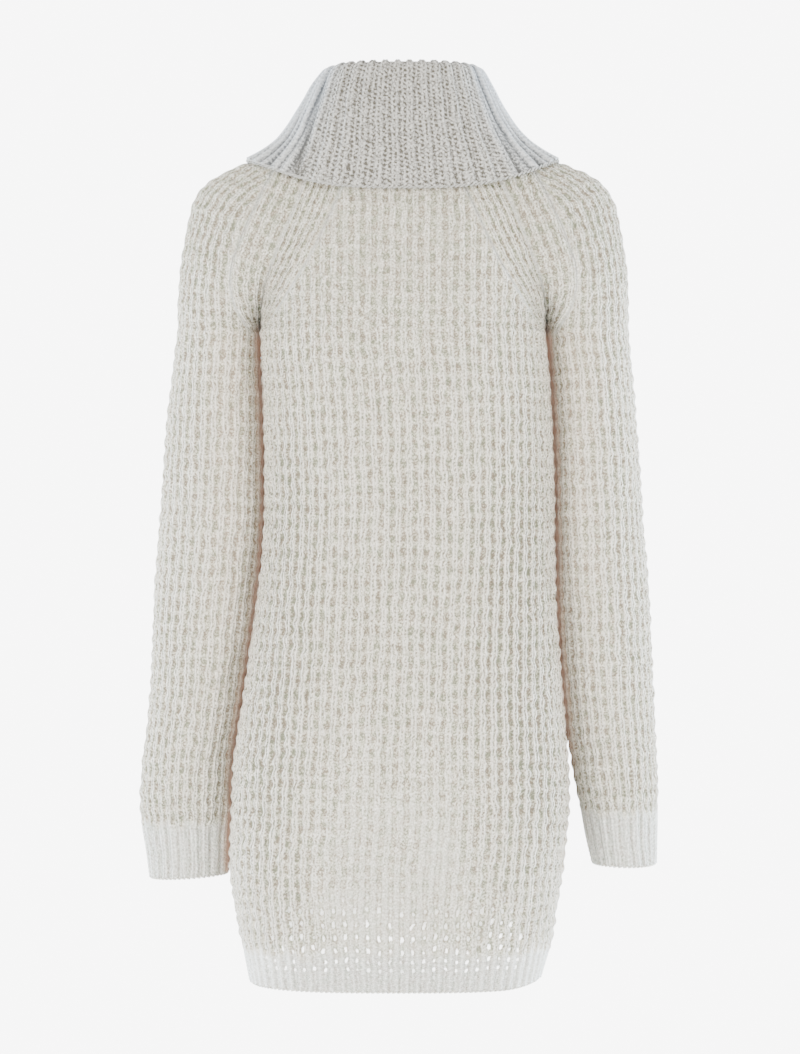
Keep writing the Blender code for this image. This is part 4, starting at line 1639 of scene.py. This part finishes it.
@dataclass(frozen=True)
class YarnFinish:
    """A matt, fuzzy yarn, lightest on the stitches, with painted shade in the pits between them."""

    name: str
    light: Colour = (0.92, 0.89, 0.788)
    # painted shade in the pits and furrows
    shade_colour: Colour = (0.235, 0.196, 0.143)
    cool: Colour = (0.215, 0.22, 0.15)     # of the painted shade in some patches
    cool_patches: Speckle = Speckle(110.0, 1.0)
    cool_start: Span = Span(0.42, 0.60)
    strand_height: float = 0.0010
    fibre_height: float = 0.0003
    fibre: Speckle = Speckle(2600.0, 3.0)
    twist: Speckle = Speckle(900.0, 1.0)   # of plain yarn
    twist_shade: float = 0.25
    mottle: Speckle = Speckle(300.0, 2.0, 0.7)     # over a few strands
    grain: Speckle = Speckle(520.0, 2.0, 2.8)      # from strand to strand
    grain_start: Span = Span(0.15, 0.90)   # how strong a knit shows all of it
    plain_grain: float = 0.38     # the share of it that plain cloth shows
    # how the painted warm shade and the painted glow of the gaps fall off
    gap_shade_power: float = 1.6
    gap_glow_power: float = 1.5
    roughness: float = 0.92
    sheen: float = 0.30
    sheen_roughness: float = 0.5
    specular: float = 0.25
    shine: float = 4.0            # of the light that comes through

    def material(self) -> bpy.types.Material:
        """Build the node material.

        Returns:
            The material.
        """
        material = bpy.data.materials.new(self.name)
        material.use_nodes = True
        tree = material.node_tree
        shader = tree.nodes["Principled BSDF"]
        for name, value in (("Roughness", self.roughness), ("Sheen Weight", self.sheen),
                            ("Sheen Roughness", self.sheen_roughness),
                            ("Specular IOR Level", self.specular)):
            shader.inputs[name].default_value = value

        pattern = self.pattern(tree)
        strength = attribute_term(tree, "knit").ramp(*self.grain_start)
        strength = strength * (1.0 - self.plain_grain) + self.plain_grain
        depth = pattern.depth + (self.mottle.term(tree) + self.grain.term(tree)) * strength
        tops = self.light_places(tree, depth)
        colour = depth.math("MAXIMUM", 0.0).mix(tops, self.shade_colour_at(tree))
        # painted warm shade near the gaps between pieces
        crease = attribute_term(tree, "crease") ** self.gap_shade_power
        if pattern.spot is not None:
            colour = pattern.spot.mix(colour, GLINT)
            # painted glow in those gaps
            painted_gap_glow = (crease ** self.gap_glow_power).mix(DARK, GAP_GLOW)
            tree.links.new(pattern.spot.mix(painted_gap_glow, GLINT), shader.inputs["Emission Color"])
            shader.inputs["Emission Strength"].default_value = self.shine
        tree.links.new(crease.mix(colour, GAP_SHADE), shader.inputs["Base Color"])

        strands = self.bump(tree, pattern.height, self.strand_height)
        fibres = self.bump(tree, self.fibre.noise(tree), self.fibre_height)
        tree.links.new(strands.outputs["Normal"], fibres.inputs["Normal"])
        tree.links.new(fibres.outputs["Normal"], shader.inputs["Normal"])
        return material

    def bump(self, tree: bpy.types.NodeTree, height: Term, distance: float) -> bpy.types.Node:
        """Add a bump.

        Args:
            tree: The material's.
            height: From 0 to 1.
            distance: How high 1 is.

        Returns:
            The bump's node.
        """
        node = tree.nodes.new("ShaderNodeBump")
        node.inputs["Distance"].default_value = distance
        tree.links.new(height.socket, node.inputs["Height"])
        return node

    def light_places(self, tree: bpy.types.NodeTree,
                     depth: Term) -> Colour | bpy.types.NodeSocket:
        """The colour of the stitches' tops."""
        return self.light

    def shade_colour_at(self, tree: bpy.types.NodeTree) -> bpy.types.NodeSocket:
        """The colour of the painted shade, which is cooler in some patches."""
        return self.cool_patches.noise(tree).ramp(*self.cool_start).mix(self.shade_colour, self.cool)

    def pattern(self, tree: bpy.types.NodeTree) -> Pattern:
        """Plain twisted yarn, with no stitches."""
        twist = self.twist.noise(tree)
        return Pattern(twist * self.twist_shade, twist)


@dataclass(frozen=True)
class WaffleFinish(YarnFinish):
    """The body's yarn: two bright legs to a wale, and long pits between the wales.

    Places across are in wales from a wale's middle, and shades are shares of the painted shade colour.
    """

    light: Colour = (0.93, 0.875, 0.762)
    pale: Colour = (0.93, 0.92, 0.85)      # of the ribs
    tan: Colour = (0.90, 0.845, 0.68)      # of the stitches' flanks, mixed in as the painted shade begins
    flank_depth: float = 2.6      # how soon the tan comes in, as the painted shade grows
    jitter: Speckle = Speckle(280.0, 2.0)
    wale_jitter: float = 0.25
    course_jitter: float = 0.50
    leg: float = 0.14             # how far the legs lie from the wale's middle
    leg_side: Span = Span(0.03, 0.10)
    leg_shade: float = -0.22
    leg_sway: float = 0.04        # outwards at a bridge
    middle_side: Span = Span(0.02, 0.11)
    middle_shade: float = 0.14
    middle_sink: float = 0.4      # of the bump, as the sinks and the rise below
    beads: float = 4.0            # small stitches to a course
    bead_shade: float = 0.45
    bead_sink: float = 0.5
    flank: tuple[float, float, float] = (0.29, 0.02, 0.10)   # its place, core and reach
    flank_shade: float = 0.32
    pit_side: Span = Span(0.20, 0.32)
    pit_sway: float = 0.09        # outwards at a bridge
    pit_web: float = 0.30         # how much shallower a pit is at a bridge
    pit_shade: float = 0.44
    pit_sink: float = 0.6
    core_side: Span = Span(0.30, 0.45)     # the pit's own middle
    core_patches: Speckle = Speckle(90.0, 1.0)
    patch_start: Span = Span(0.25, 0.60)
    core_shade: float = 0.18
    spot_start: Span = Span(0.22, 0.52)    # how deep a core lets light through
    strands: float = 4.0          # slanting strands to a course
    slant: float = 2.2
    strand_shade: float = 0.22
    strand_rise: float = 0.35
    base_shade: float = 0.17
    # how much of the painted shade attribute darkens the colour
    painted_shade_share: float = 0.60
    rib_shade: float = 0.34
    rib_lift: float = 0.34        # how much lighter the ribs' own middles are
    rib_strand_shade: float = 0.16
    rib_strand_rise: float = 0.5

    def light_places(self, tree: bpy.types.NodeTree, depth: Term) -> bpy.types.NodeSocket:
        """Colour the stitches: paler on the ribs and warmer on the flanks.

        Args:
            tree: The material's.
            depth: How much painted shade each place has.

        Returns:
            The colour.
        """
        knit = attribute_term(tree, "knit")
        tops = knit.mix(self.pale, self.light)
        return (depth * self.flank_depth * knit).mix(tops, self.tan)

    def pattern(self, tree: bpy.types.NodeTree) -> Pattern:
        """Work out the waffle, and soft ribs where the knit gives way to a band.

        Args:
            tree: The material's.

        Returns:
            The pattern.
        """
        wale, course = knit_terms(tree)
        jitter = self.jitter.noise(tree) - 0.5
        wale, course = wale + jitter * self.wale_jitter, course + jitter * self.course_jitter
        off, bridge = wale.from_whole(), course.wave() ** 2.0
        leg = (off - bridge * self.leg_sway - self.leg).size().fall(*self.leg_side)
        middle = off.fall(*self.middle_side)
        beads = (course * self.beads).wave() * middle
        flank = off.near(*self.flank) * (course * self.beads + 0.5).wave()
        between = (off - bridge * self.pit_sway).ramp(*self.pit_side)
        pit = between * (bridge * -self.pit_web + 1.0)
        core = off.ramp(*self.core_side) * (course + 0.5).wave() ** 2.0
        core = core * self.core_patches.noise(tree).ramp(*self.patch_start)
        strand = (course * self.strands + off * self.slant).wave()

        depth = pit * self.pit_shade + core * self.core_shade + flank * self.flank_shade
        depth = depth + middle * self.middle_shade + beads * self.bead_shade
        depth = depth + strand * between * self.strand_shade + leg * self.leg_shade
        height = leg - middle * self.middle_sink - beads * self.bead_sink - pit * self.pit_sink
        height = height + strand * leg * self.strand_rise
        depth = depth + self.base_shade
        lines = (wale * 2.0).wave() ** 2.0
        ribs = strand * self.rib_strand_shade - lines * self.rib_lift + self.rib_shade
        knit, hollow = attribute_term(tree, "knit"), attribute_term(tree, "hollow")
        band = knit.rest()
        return Pattern(depth * knit + hollow * self.painted_shade_share + ribs * band,
                       height * knit + strand * band * self.rib_strand_rise,
                       core.ramp(*self.spot_start) * attribute_term(tree, "glint"))


@dataclass(frozen=True)
class CollarFinish(YarnFinish):
    """The collar's yarn: narrow plain ribs, with rows of pin holes between them.

    Places across are in ribs, and shades are shares of the painted shade colour.
    """

    side_light_colour: Colour = (0.68, 0.71, 0.74)     # painted cool light on the tops, where the knit is drawn smooth at the sides
    jitter: Speckle = Speckle(230.0, 2.0)
    rib_jitter: float = 0.22
    course_jitter: float = 0.9
    hole_side: Span = Span(0.04, 0.14)
    hole_shade: float = 0.78
    hole_patches: Speckle = Speckle(150.0, 1.0)
    patch_start: Span = Span(0.25, 0.60)
    middle_side: Span = Span(0.02, 0.09)
    middle_shade: float = 0.52
    middle_sink: float = 0.6      # of the bump
    leg: float = 0.14             # how far the legs lie from a plain rib's middle
    leg_side: Span = Span(0.02, 0.08)
    leg_shade: float = -0.18
    purl_side: Span = Span(0.02, 0.10)
    purl_share: float = 0.6       # of a leg
    slant: float = 3.0
    strand_shade: float = 0.22
    strand_rise: float = 0.3
    base_shade: float = 0.09
    lines: float = 4.0            # drawn lines to a rib
    line_shade: float = 0.26
    drawn_strand_shade: float = 0.20
    drawn_strand_rise: float = 0.5
    shade: float = 0.24           # of all of it

    def light_places(self, tree: bpy.types.NodeTree, depth: Term) -> bpy.types.NodeSocket:
        """The colour of the stitches' tops, with painted cool light where the knit is drawn smooth."""
        return attribute_term(tree, "knit").mix(self.side_light_colour, self.light)

    def shade_colour_at(self, tree: bpy.types.NodeTree) -> bpy.types.NodeSocket:
        """The colour of the painted shade, tinted by painted cool light where the knit is drawn
        smooth.
        """
        return attribute_term(tree, "knit").mix(self.cool, self.shade_colour)

    def pattern(self, tree: bpy.types.NodeTree) -> Pattern:
        """Work out plain ribs at half ribs, and two staggered columns of holes between two.

        Args:
            tree: The material's.

        Returns:
            The pattern.
        """
        rib, course = knit_terms(tree)
        jitter = self.jitter.noise(tree) - 0.5
        rib, course = rib + jitter * self.rib_jitter, course + jitter * self.course_jitter
        off, across = (rib + 0.5).from_whole(), rib.math("FRACT")
        middle = off.near(0.0, *self.middle_side) * course.wave()
        holes = (across.near(1 / 6, *self.hole_side) * course.wave()
                 + across.near(5 / 6, *self.hole_side) * (course + 0.5).wave())
        leg = off.near(self.leg, *self.leg_side)
        leg = leg + off.near(0.5, *self.purl_side) * self.purl_share
        strand = (course + off * self.slant).wave()
        size = self.hole_patches.noise(tree).ramp(*self.patch_start) * 0.5 + 0.5
        depth = (holes * self.hole_shade + middle * self.middle_shade) * size
        depth = depth + strand * self.strand_shade + leg * self.leg_shade + self.base_shade
        knit = attribute_term(tree, "knit")
        drawn, lines = knit.rest(), (rib * self.lines).wave() ** 3.0
        smooth = lines * self.line_shade + strand * self.drawn_strand_shade
        depth = depth * knit + smooth * drawn + attribute_term(tree, "hollow") + self.shade
        height = (leg - holes - middle * self.middle_sink + strand * self.strand_rise) * knit
        return Pattern(depth, height + (strand * self.drawn_strand_rise - lines) * drawn)


class LoopPoint(NamedTuple):
    """Where a loop lies, how its line runs there and which way its flat side looks."""

    place: Array
    along: Array
    outwards: Array


@dataclass(frozen=True)
class LoopRow:
    """A row of small yarn loops, one like another, set along lines."""

    name: str
    length: float = 0.0064        # of a loop, along its line
    width: float = 0.0034
    radius: float = 0.0009        # of the yarn
    pitch: float = 0.0050
    tilt: float = 20.0            # degrees that each loop leans over the next
    ring_points: int = 10
    yarn_sides: int = 5

    def points(self, line: Array, outwards: Array) -> list[LoopPoint]:
        """Space the loops evenly along a line.

        Args:
            line: The line's points.
            outwards: At each, the way that a loop's flat side looks.

        Returns:
            A place for each loop.
        """
        steps = max(round(np.linalg.norm(np.diff(line, axis=0), axis=1).sum() / self.pitch), 1)
        even = divide_evenly(np.concatenate([line, outwards], axis=1), 2 * steps)
        along = unit(np.gradient(even[:, :3], axis=0))
        return [LoopPoint(even[n, :3], along[n], unit(even[n, 3:])) for n in range(1, 2 * steps, 2)]

    def build(self, points: Sequence[LoopPoint], material: bpy.types.Material) -> bpy.types.Object:
        """Set a loop on each place, as one mesh.

        Args:
            points: The places.
            material: The yarn.

        Returns:
            The piece.
        """
        anchors = make_mesh(self.name + "_anchors", [tuple(point.place) for point in points], [],
                            material)
        for name in ("along", "outwards"):
            values = np.array([getattr(point, name) for point in points], np.float32)
            layer = anchors.data.attributes.new(name, "FLOAT_VECTOR", "POINT")
            layer.data.foreach_set("vector", values.ravel())
        tree = self.node_group()
        modifier = anchors.modifiers.new("loops", "NODES")
        modifier.node_group = tree
        values = {"Length": self.length, "Width": self.width, "Radius": self.radius,
                  "Tilt": math.radians(self.tilt), "Material": material}
        for item in tree.interface.items_tree:
            if item.name in values:
                modifier[item.identifier] = values[item.name]
        depsgraph = bpy.context.evaluated_depsgraph_get()
        mesh = bpy.data.meshes.new_from_object(anchors.evaluated_get(depsgraph))
        anchors.modifiers.remove(modifier)
        bpy.data.objects.remove(anchors)
        mesh.name = self.name
        face_outwards(mesh)
        return show(bpy.data.objects.new(self.name, mesh))

    def node_group(self) -> bpy.types.NodeTree:
        """Build the tree that sets a loop on each point of a mesh.

        Returns:
            The tree.
        """
        tree = bpy.data.node_groups.new(self.name + "_loops", "GeometryNodeTree")
        for name, way, kind in (("Geometry", "INPUT", "Geometry"), ("Length", "INPUT", "Float"),
                                ("Width", "INPUT", "Float"), ("Radius", "INPUT", "Float"),
                                ("Tilt", "INPUT", "Float"), ("Material", "INPUT", "Material"),
                                ("Geometry", "OUTPUT", "Geometry")):
            tree.interface.new_socket(name, in_out=way, socket_type="NodeSocket" + kind)

        def node(kind: str, inputs: dict[int | str, object], **settings: object) -> NodeOutputs:
            """Add a node.

            Args:
                kind: Its type.
                inputs: The value or the source of each input.
                settings: Its other settings.

            Returns:
                Its outputs.
            """
            made = tree.nodes.new(kind)
            for key, value in settings.items():
                setattr(made, key, value)
            for key, value in inputs.items():
                if isinstance(value, bpy.types.NodeSocket):
                    tree.links.new(value, made.inputs[key])
                else:
                    made.inputs[key].default_value = value
            return made.outputs

        given = node("NodeGroupInput", {})
        circle = node("GeometryNodeCurvePrimitiveCircle",
                      {"Resolution": self.ring_points, "Radius": 0.5})
        scale = node("ShaderNodeCombineXYZ", {0: given["Length"], 1: given["Width"], 2: 1.0})
        lean = node("ShaderNodeCombineXYZ", {1: given["Tilt"]})
        shape = node("GeometryNodeTransform",
                     {"Geometry": circle[0], "Scale": scale[0], "Rotation": lean[0]})
        section = node("GeometryNodeCurvePrimitiveCircle",
                       {"Resolution": self.yarn_sides, "Radius": given["Radius"]})
        yarn = node("GeometryNodeCurveToMesh", {"Curve": shape[0], "Profile Curve": section[0]})

        along, outwards = (node("GeometryNodeInputNamedAttribute", {"Name": name},
                                data_type="FLOAT_VECTOR") for name in ("along", "outwards"))
        first = node("FunctionNodeAlignRotationToVector", {"Vector": along[0]}, axis="X")
        second = node("FunctionNodeAlignRotationToVector",
                      {"Rotation": first[0], "Vector": outwards[0]}, axis="Z", pivot_axis="X")
        instances = node("GeometryNodeInstanceOnPoints",
                         {"Points": given["Geometry"], "Instance": yarn[0], "Rotation": second[0]})
        real = node("GeometryNodeRealizeInstances", {0: instances[0]})
        smooth = node("GeometryNodeSetShadeSmooth", {0: real[0]})
        coat = node("GeometryNodeSetMaterial",
                    {"Geometry": smooth[0], "Material": given["Material"]})
        node("NodeGroupOutput", {0: coat[0]})
        return tree


def edge_points(row: LoopRow, grid: Grid, at: int) -> list[LoopPoint]:
    """Place a row of loops along the first or the last row of a grid.

    Args:
        row: The loops.
        grid: The piece's.
        at: 0 for its first row, -1 for its last.

    Returns:
        A place for each loop.
    """
    wall = grid.outer[at] + 0.5 * grid.thickness * grid.inwards[at]
    beyond = unit(grid.outer[at] - grid.outer[EDGE_LOOK if at == 0 else -1 - EDGE_LOOK])
    return row.points(wall + EDGE_OVERHANG * beyond, beyond)


def seam_points(row: LoopRow, grid: Grid, first: int) -> list[LoopPoint]:
    """Place stitches along both raglan edges of a panel.

    Args:
        row: The stitches.
        grid: The panel's.
        first: The row where they start.

    Returns:
        A place for each stitch.
    """
    found = []
    for column in (0, -1):
        inwards = grid.inwards[first:-SEAM_END_ROWS, column]
        line = grid.outer[first:-SEAM_END_ROWS, column] + SEAM_STITCH_SINK * inwards
        found += row.points(line, -inwards)
    return found


@dataclass
class Studio:
    """The pale floor, the soft light and the camera."""

    distance: float = 3.2
    half_height: float = 0.527    # what the camera sees at the object, either way
    centre: tuple[float, float] = (-0.002, -0.357)
    aim_height: float = -0.35     # of the lights
    floor_height: float = -1.02
    floor_radius: float = 0.8
    floor_sides: int = 64
    floor_colour: Colour = (0.90, 0.90, 0.90)
    backdrop: float = 8.0         # brightness of the surroundings as seen
    fill: float = 1.6             # and as light
    warm: Colour = (1.0, 0.98, 0.94)
    cool: Colour = (0.64, 0.81, 1.0)

    def build(self) -> None:
        """Place everything around the object."""
        self.build_floor()
        self.build_world()
        for name, place, size, power, colour in (
            ("light_above", (0.0, -1.4, 2.2), 1.8, 12.0, self.warm),
            ("light_left", (-1.9, -1.7, -0.45), 1.2, 92.0, self.warm),
            ("light_right", (1.9, -1.7, -0.45), 1.2, 80.0, self.warm),
            ("light_left_edge", (-1.7, 0.5, -0.2), 1.2, 88.0, self.cool),
            ("light_right_edge", (1.7, 0.5, -0.2), 1.2, 120.0, self.cool),
        ):
            self.add_light(name, place, size, power, colour)
        self.build_camera()

    def build_floor(self) -> None:
        """Lay a round pale floor below the dress."""
        turns = np.linspace(0.0, 2 * math.pi, self.floor_sides + 1)[:-1]
        rim = [(self.floor_radius * math.cos(turn), self.floor_radius * math.sin(turn),
                self.floor_height) for turn in turns]
        material = bpy.data.materials.new("pale_floor")
        material.use_nodes = True
        shader = material.node_tree.nodes["Principled BSDF"]
        shader.inputs["Base Color"].default_value = (*self.floor_colour, 1.0)
        shader.inputs["Roughness"].default_value = 1.0
        shader.inputs["Specular IOR Level"].default_value = 0.0
        make_mesh("floor", rim, [tuple(range(len(rim)))], material)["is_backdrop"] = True

    def build_world(self) -> None:
        """Set an even white surrounding, brighter to look at than the light that it gives."""
        world = bpy.data.worlds.new("studio")
        world.use_nodes = True
        tree = world.node_tree
        background = tree.nodes["Background"]
        background.inputs["Color"].default_value = (1.0, 1.0, 1.0, 1.0)
        seen = Term(tree, tree.nodes.new("ShaderNodeLightPath").outputs["Is Camera Ray"])
        strength = seen.math("MULTIPLY_ADD", self.backdrop - self.fill, self.fill)
        tree.links.new(strength.socket, background.inputs["Strength"])
        bpy.context.scene.world = world

    def add_light(self, name: str, place: tuple[float, float, float], size: float, power: float,
                  colour: Colour) -> None:
        """Add a square soft light that faces the object.

        Args:
            name: Of the light.
            place: Where it stands.
            size: Of its sides.
            power: In watts.
            colour: Of its light.
        """
        light = bpy.data.lights.new(name, "AREA")
        light.size, light.energy, light.color = size, power, colour
        lamp = show(bpy.data.objects.new(name, light))
        lamp.location = place
        aim = Vector((0.0, 0.0, self.aim_height)) - Vector(place)
        lamp.rotation_euler = aim.to_track_quat("-Z", "Y").to_euler()

    def build_camera(self) -> None:
        """Look level at the back of the dress."""
        camera = bpy.data.cameras.new("camera")
        camera.lens = camera.sensor_width / 2 * self.distance / self.half_height
        viewer = show(bpy.data.objects.new("camera", camera))
        viewer.location = (self.centre[0], -self.distance, self.centre[1])
        viewer.rotation_euler = (math.pi / 2, 0.0, 0.0)
        bpy.context.scene.camera = viewer


WAFFLE_YARN = WaffleFinish("waffle_knit")
# The collar's darker colours are painted shade in its holes and furrows; the cool one is that shade
# tinted by painted cool light at the sides.
COLLAR_YARN = CollarFinish("rib_knit", light=(0.60, 0.585, 0.54), shade_colour=(0.10, 0.09, 0.07),
                           cool=(0.14, 0.16, 0.18), strand_height=0.0006,
                           mottle=Speckle(300.0, 2.0, 0.5))
EDGE_YARN = YarnFinish("edge_yarn", light=(0.80, 0.77, 0.68))
COLLAR_EDGE_YARN = YarnFinish("collar_edge_yarn", light=(0.50, 0.49, 0.455))


@dataclass
class Dress:
    """All the pieces of the dress, made and attached to the frame."""

    reach: float = 0.015          # how near another piece has to be to hold the knit back
    margin: float = 0.0002        # and what is then left free
    grids: dict[str, Grid] = field(default_factory=dict)
    pieces: dict[str, bpy.types.Object] = field(default_factory=dict)

    def build(self) -> None:
        """Make the cloth, then what lies along its edges, and hide the solids that the cloth replaces.
        """
        panels = [Panel(Face.BACK, "back_panel_knit"), Panel(Face.FRONT, "front_panel_knit")]
        sleeves = [Sleeve(Side.LEFT, "sleeve_left_knit"), Sleeve(Side.RIGHT, "sleeve_right_knit")]
        self.grids = {part.name: part.grid() for part in [*panels, *sleeves, Collar("collar_knit")]}
        self.part_neighbours()
        waffle, rib = WAFFLE_YARN.material(), COLLAR_YARN.material()
        for name, grid in self.grids.items():
            self.add(name, Shell(grid).build(name, rib if name == "collar_knit" else waffle))
        self.build_edges(panels)
        self.declare_cloth()

    def declare_cloth(self) -> None:
        """Hide the solid that each cloth piece replaces, and log its cut size and area."""
        cloth = list(self.grids)
        for name, grid in self.grids.items():
            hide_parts(name.removesuffix("_knit"))
            "rib_knit" if name == "collar_knit" else "waffle_knit"
            held, neighbours = "hung", cloth[2:4] if name in cloth[:2] else cloth[:2]
            if name == "collar_knit":
                held, neighbours = "folded", cloth[:4]
            edges = [piece for other, piece in self.pieces.items()
                     if other.startswith(name.removesuffix("_knit")) and other != name]
            flat, area = grid.cut_size(), grid.plain_area()
            LOG.info("%s is cut %.0f x %.0f mm, %.4f m2", name, *(1000 * x for x in flat), area)

    def part_neighbours(self) -> None:
        """Hold the knit back where two pieces lie close together, and paint warm shade in the gaps
        under the arms.
        """
        trees = {name: grid.tree() for name, grid in self.grids.items()}
        collar = trees.pop("collar_knit")
        for name in trees:
            others = [tree for other, tree in trees.items()
                      if other.startswith("sleeve") != name.startswith("sleeve")]
            self.grids[name].keep_clear([*others, collar], self.reach, self.margin)
        LOG.info("grids are ready")

    def build_edges(self, panels: Sequence[Panel]) -> None:
        """Cast off the hem, the cuffs and the collar, and stitch the raglan seams.

        Args:
            panels: The back and the front.
        """
        yarn, collar_yarn = EDGE_YARN.material(), COLLAR_EDGE_YARN.material()
        for name in ("back_panel", "front_panel", "sleeve_left", "sleeve_right"):
            row = LoopRow(f"{name}_cast_off")
            self.add(row.name, row.build(edge_points(row, self.grids[f"{name}_knit"], 0), yarn))
        row = LoopRow("collar_cast_off", width=0.0026, radius=0.0007)
        points = edge_points(row, self.grids["collar_knit"], -1)
        self.add(row.name, row.build(points, collar_yarn))
        for panel in panels:
            row = LoopRow(panel.name.replace("knit", "seam_stitches"), length=0.0050,
                          width=0.0030, radius=0.0008, pitch=0.0070, tilt=12.0)
            points = seam_points(row, self.grids[panel.name], panel.underarm)
            self.add(row.name, row.build(points, yarn))

    def add(self, name: str, piece: bpy.types.Object) -> None:
        """Keep a piece and let it ride on the frame.

        Args:
            name: Of the piece.
            piece: Its object.
        """
        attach(piece, "root")
        self.pieces[name] = piece
        LOG.info("%s: %d faces", name, len(piece.data.polygons))


def record_bounds(sizes: dict[str, list[list[float]]], key: str) -> None:
    """Note the shown object's lowest and highest corner."""
    low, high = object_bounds()
    sizes[key] = [[round(value, 5) for value in low], [round(value, 5) for value in high]]


def main() -> None:
    """Build every piece of the dress and the studio."""
    logging.basicConfig(level=logging.INFO, format="%(name)s: %(message)s")
    for leftover in list(bpy.data.objects):
        bpy.data.objects.remove(leftover, do_unlink=True)
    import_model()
    sizes: dict[str, list[list[float]]] = {}
    record_bounds(sizes, "frame")
    Dress().build()
    Studio().build()
    record_bounds(sizes, "looks")


if __name__ == "__main__":
    main()
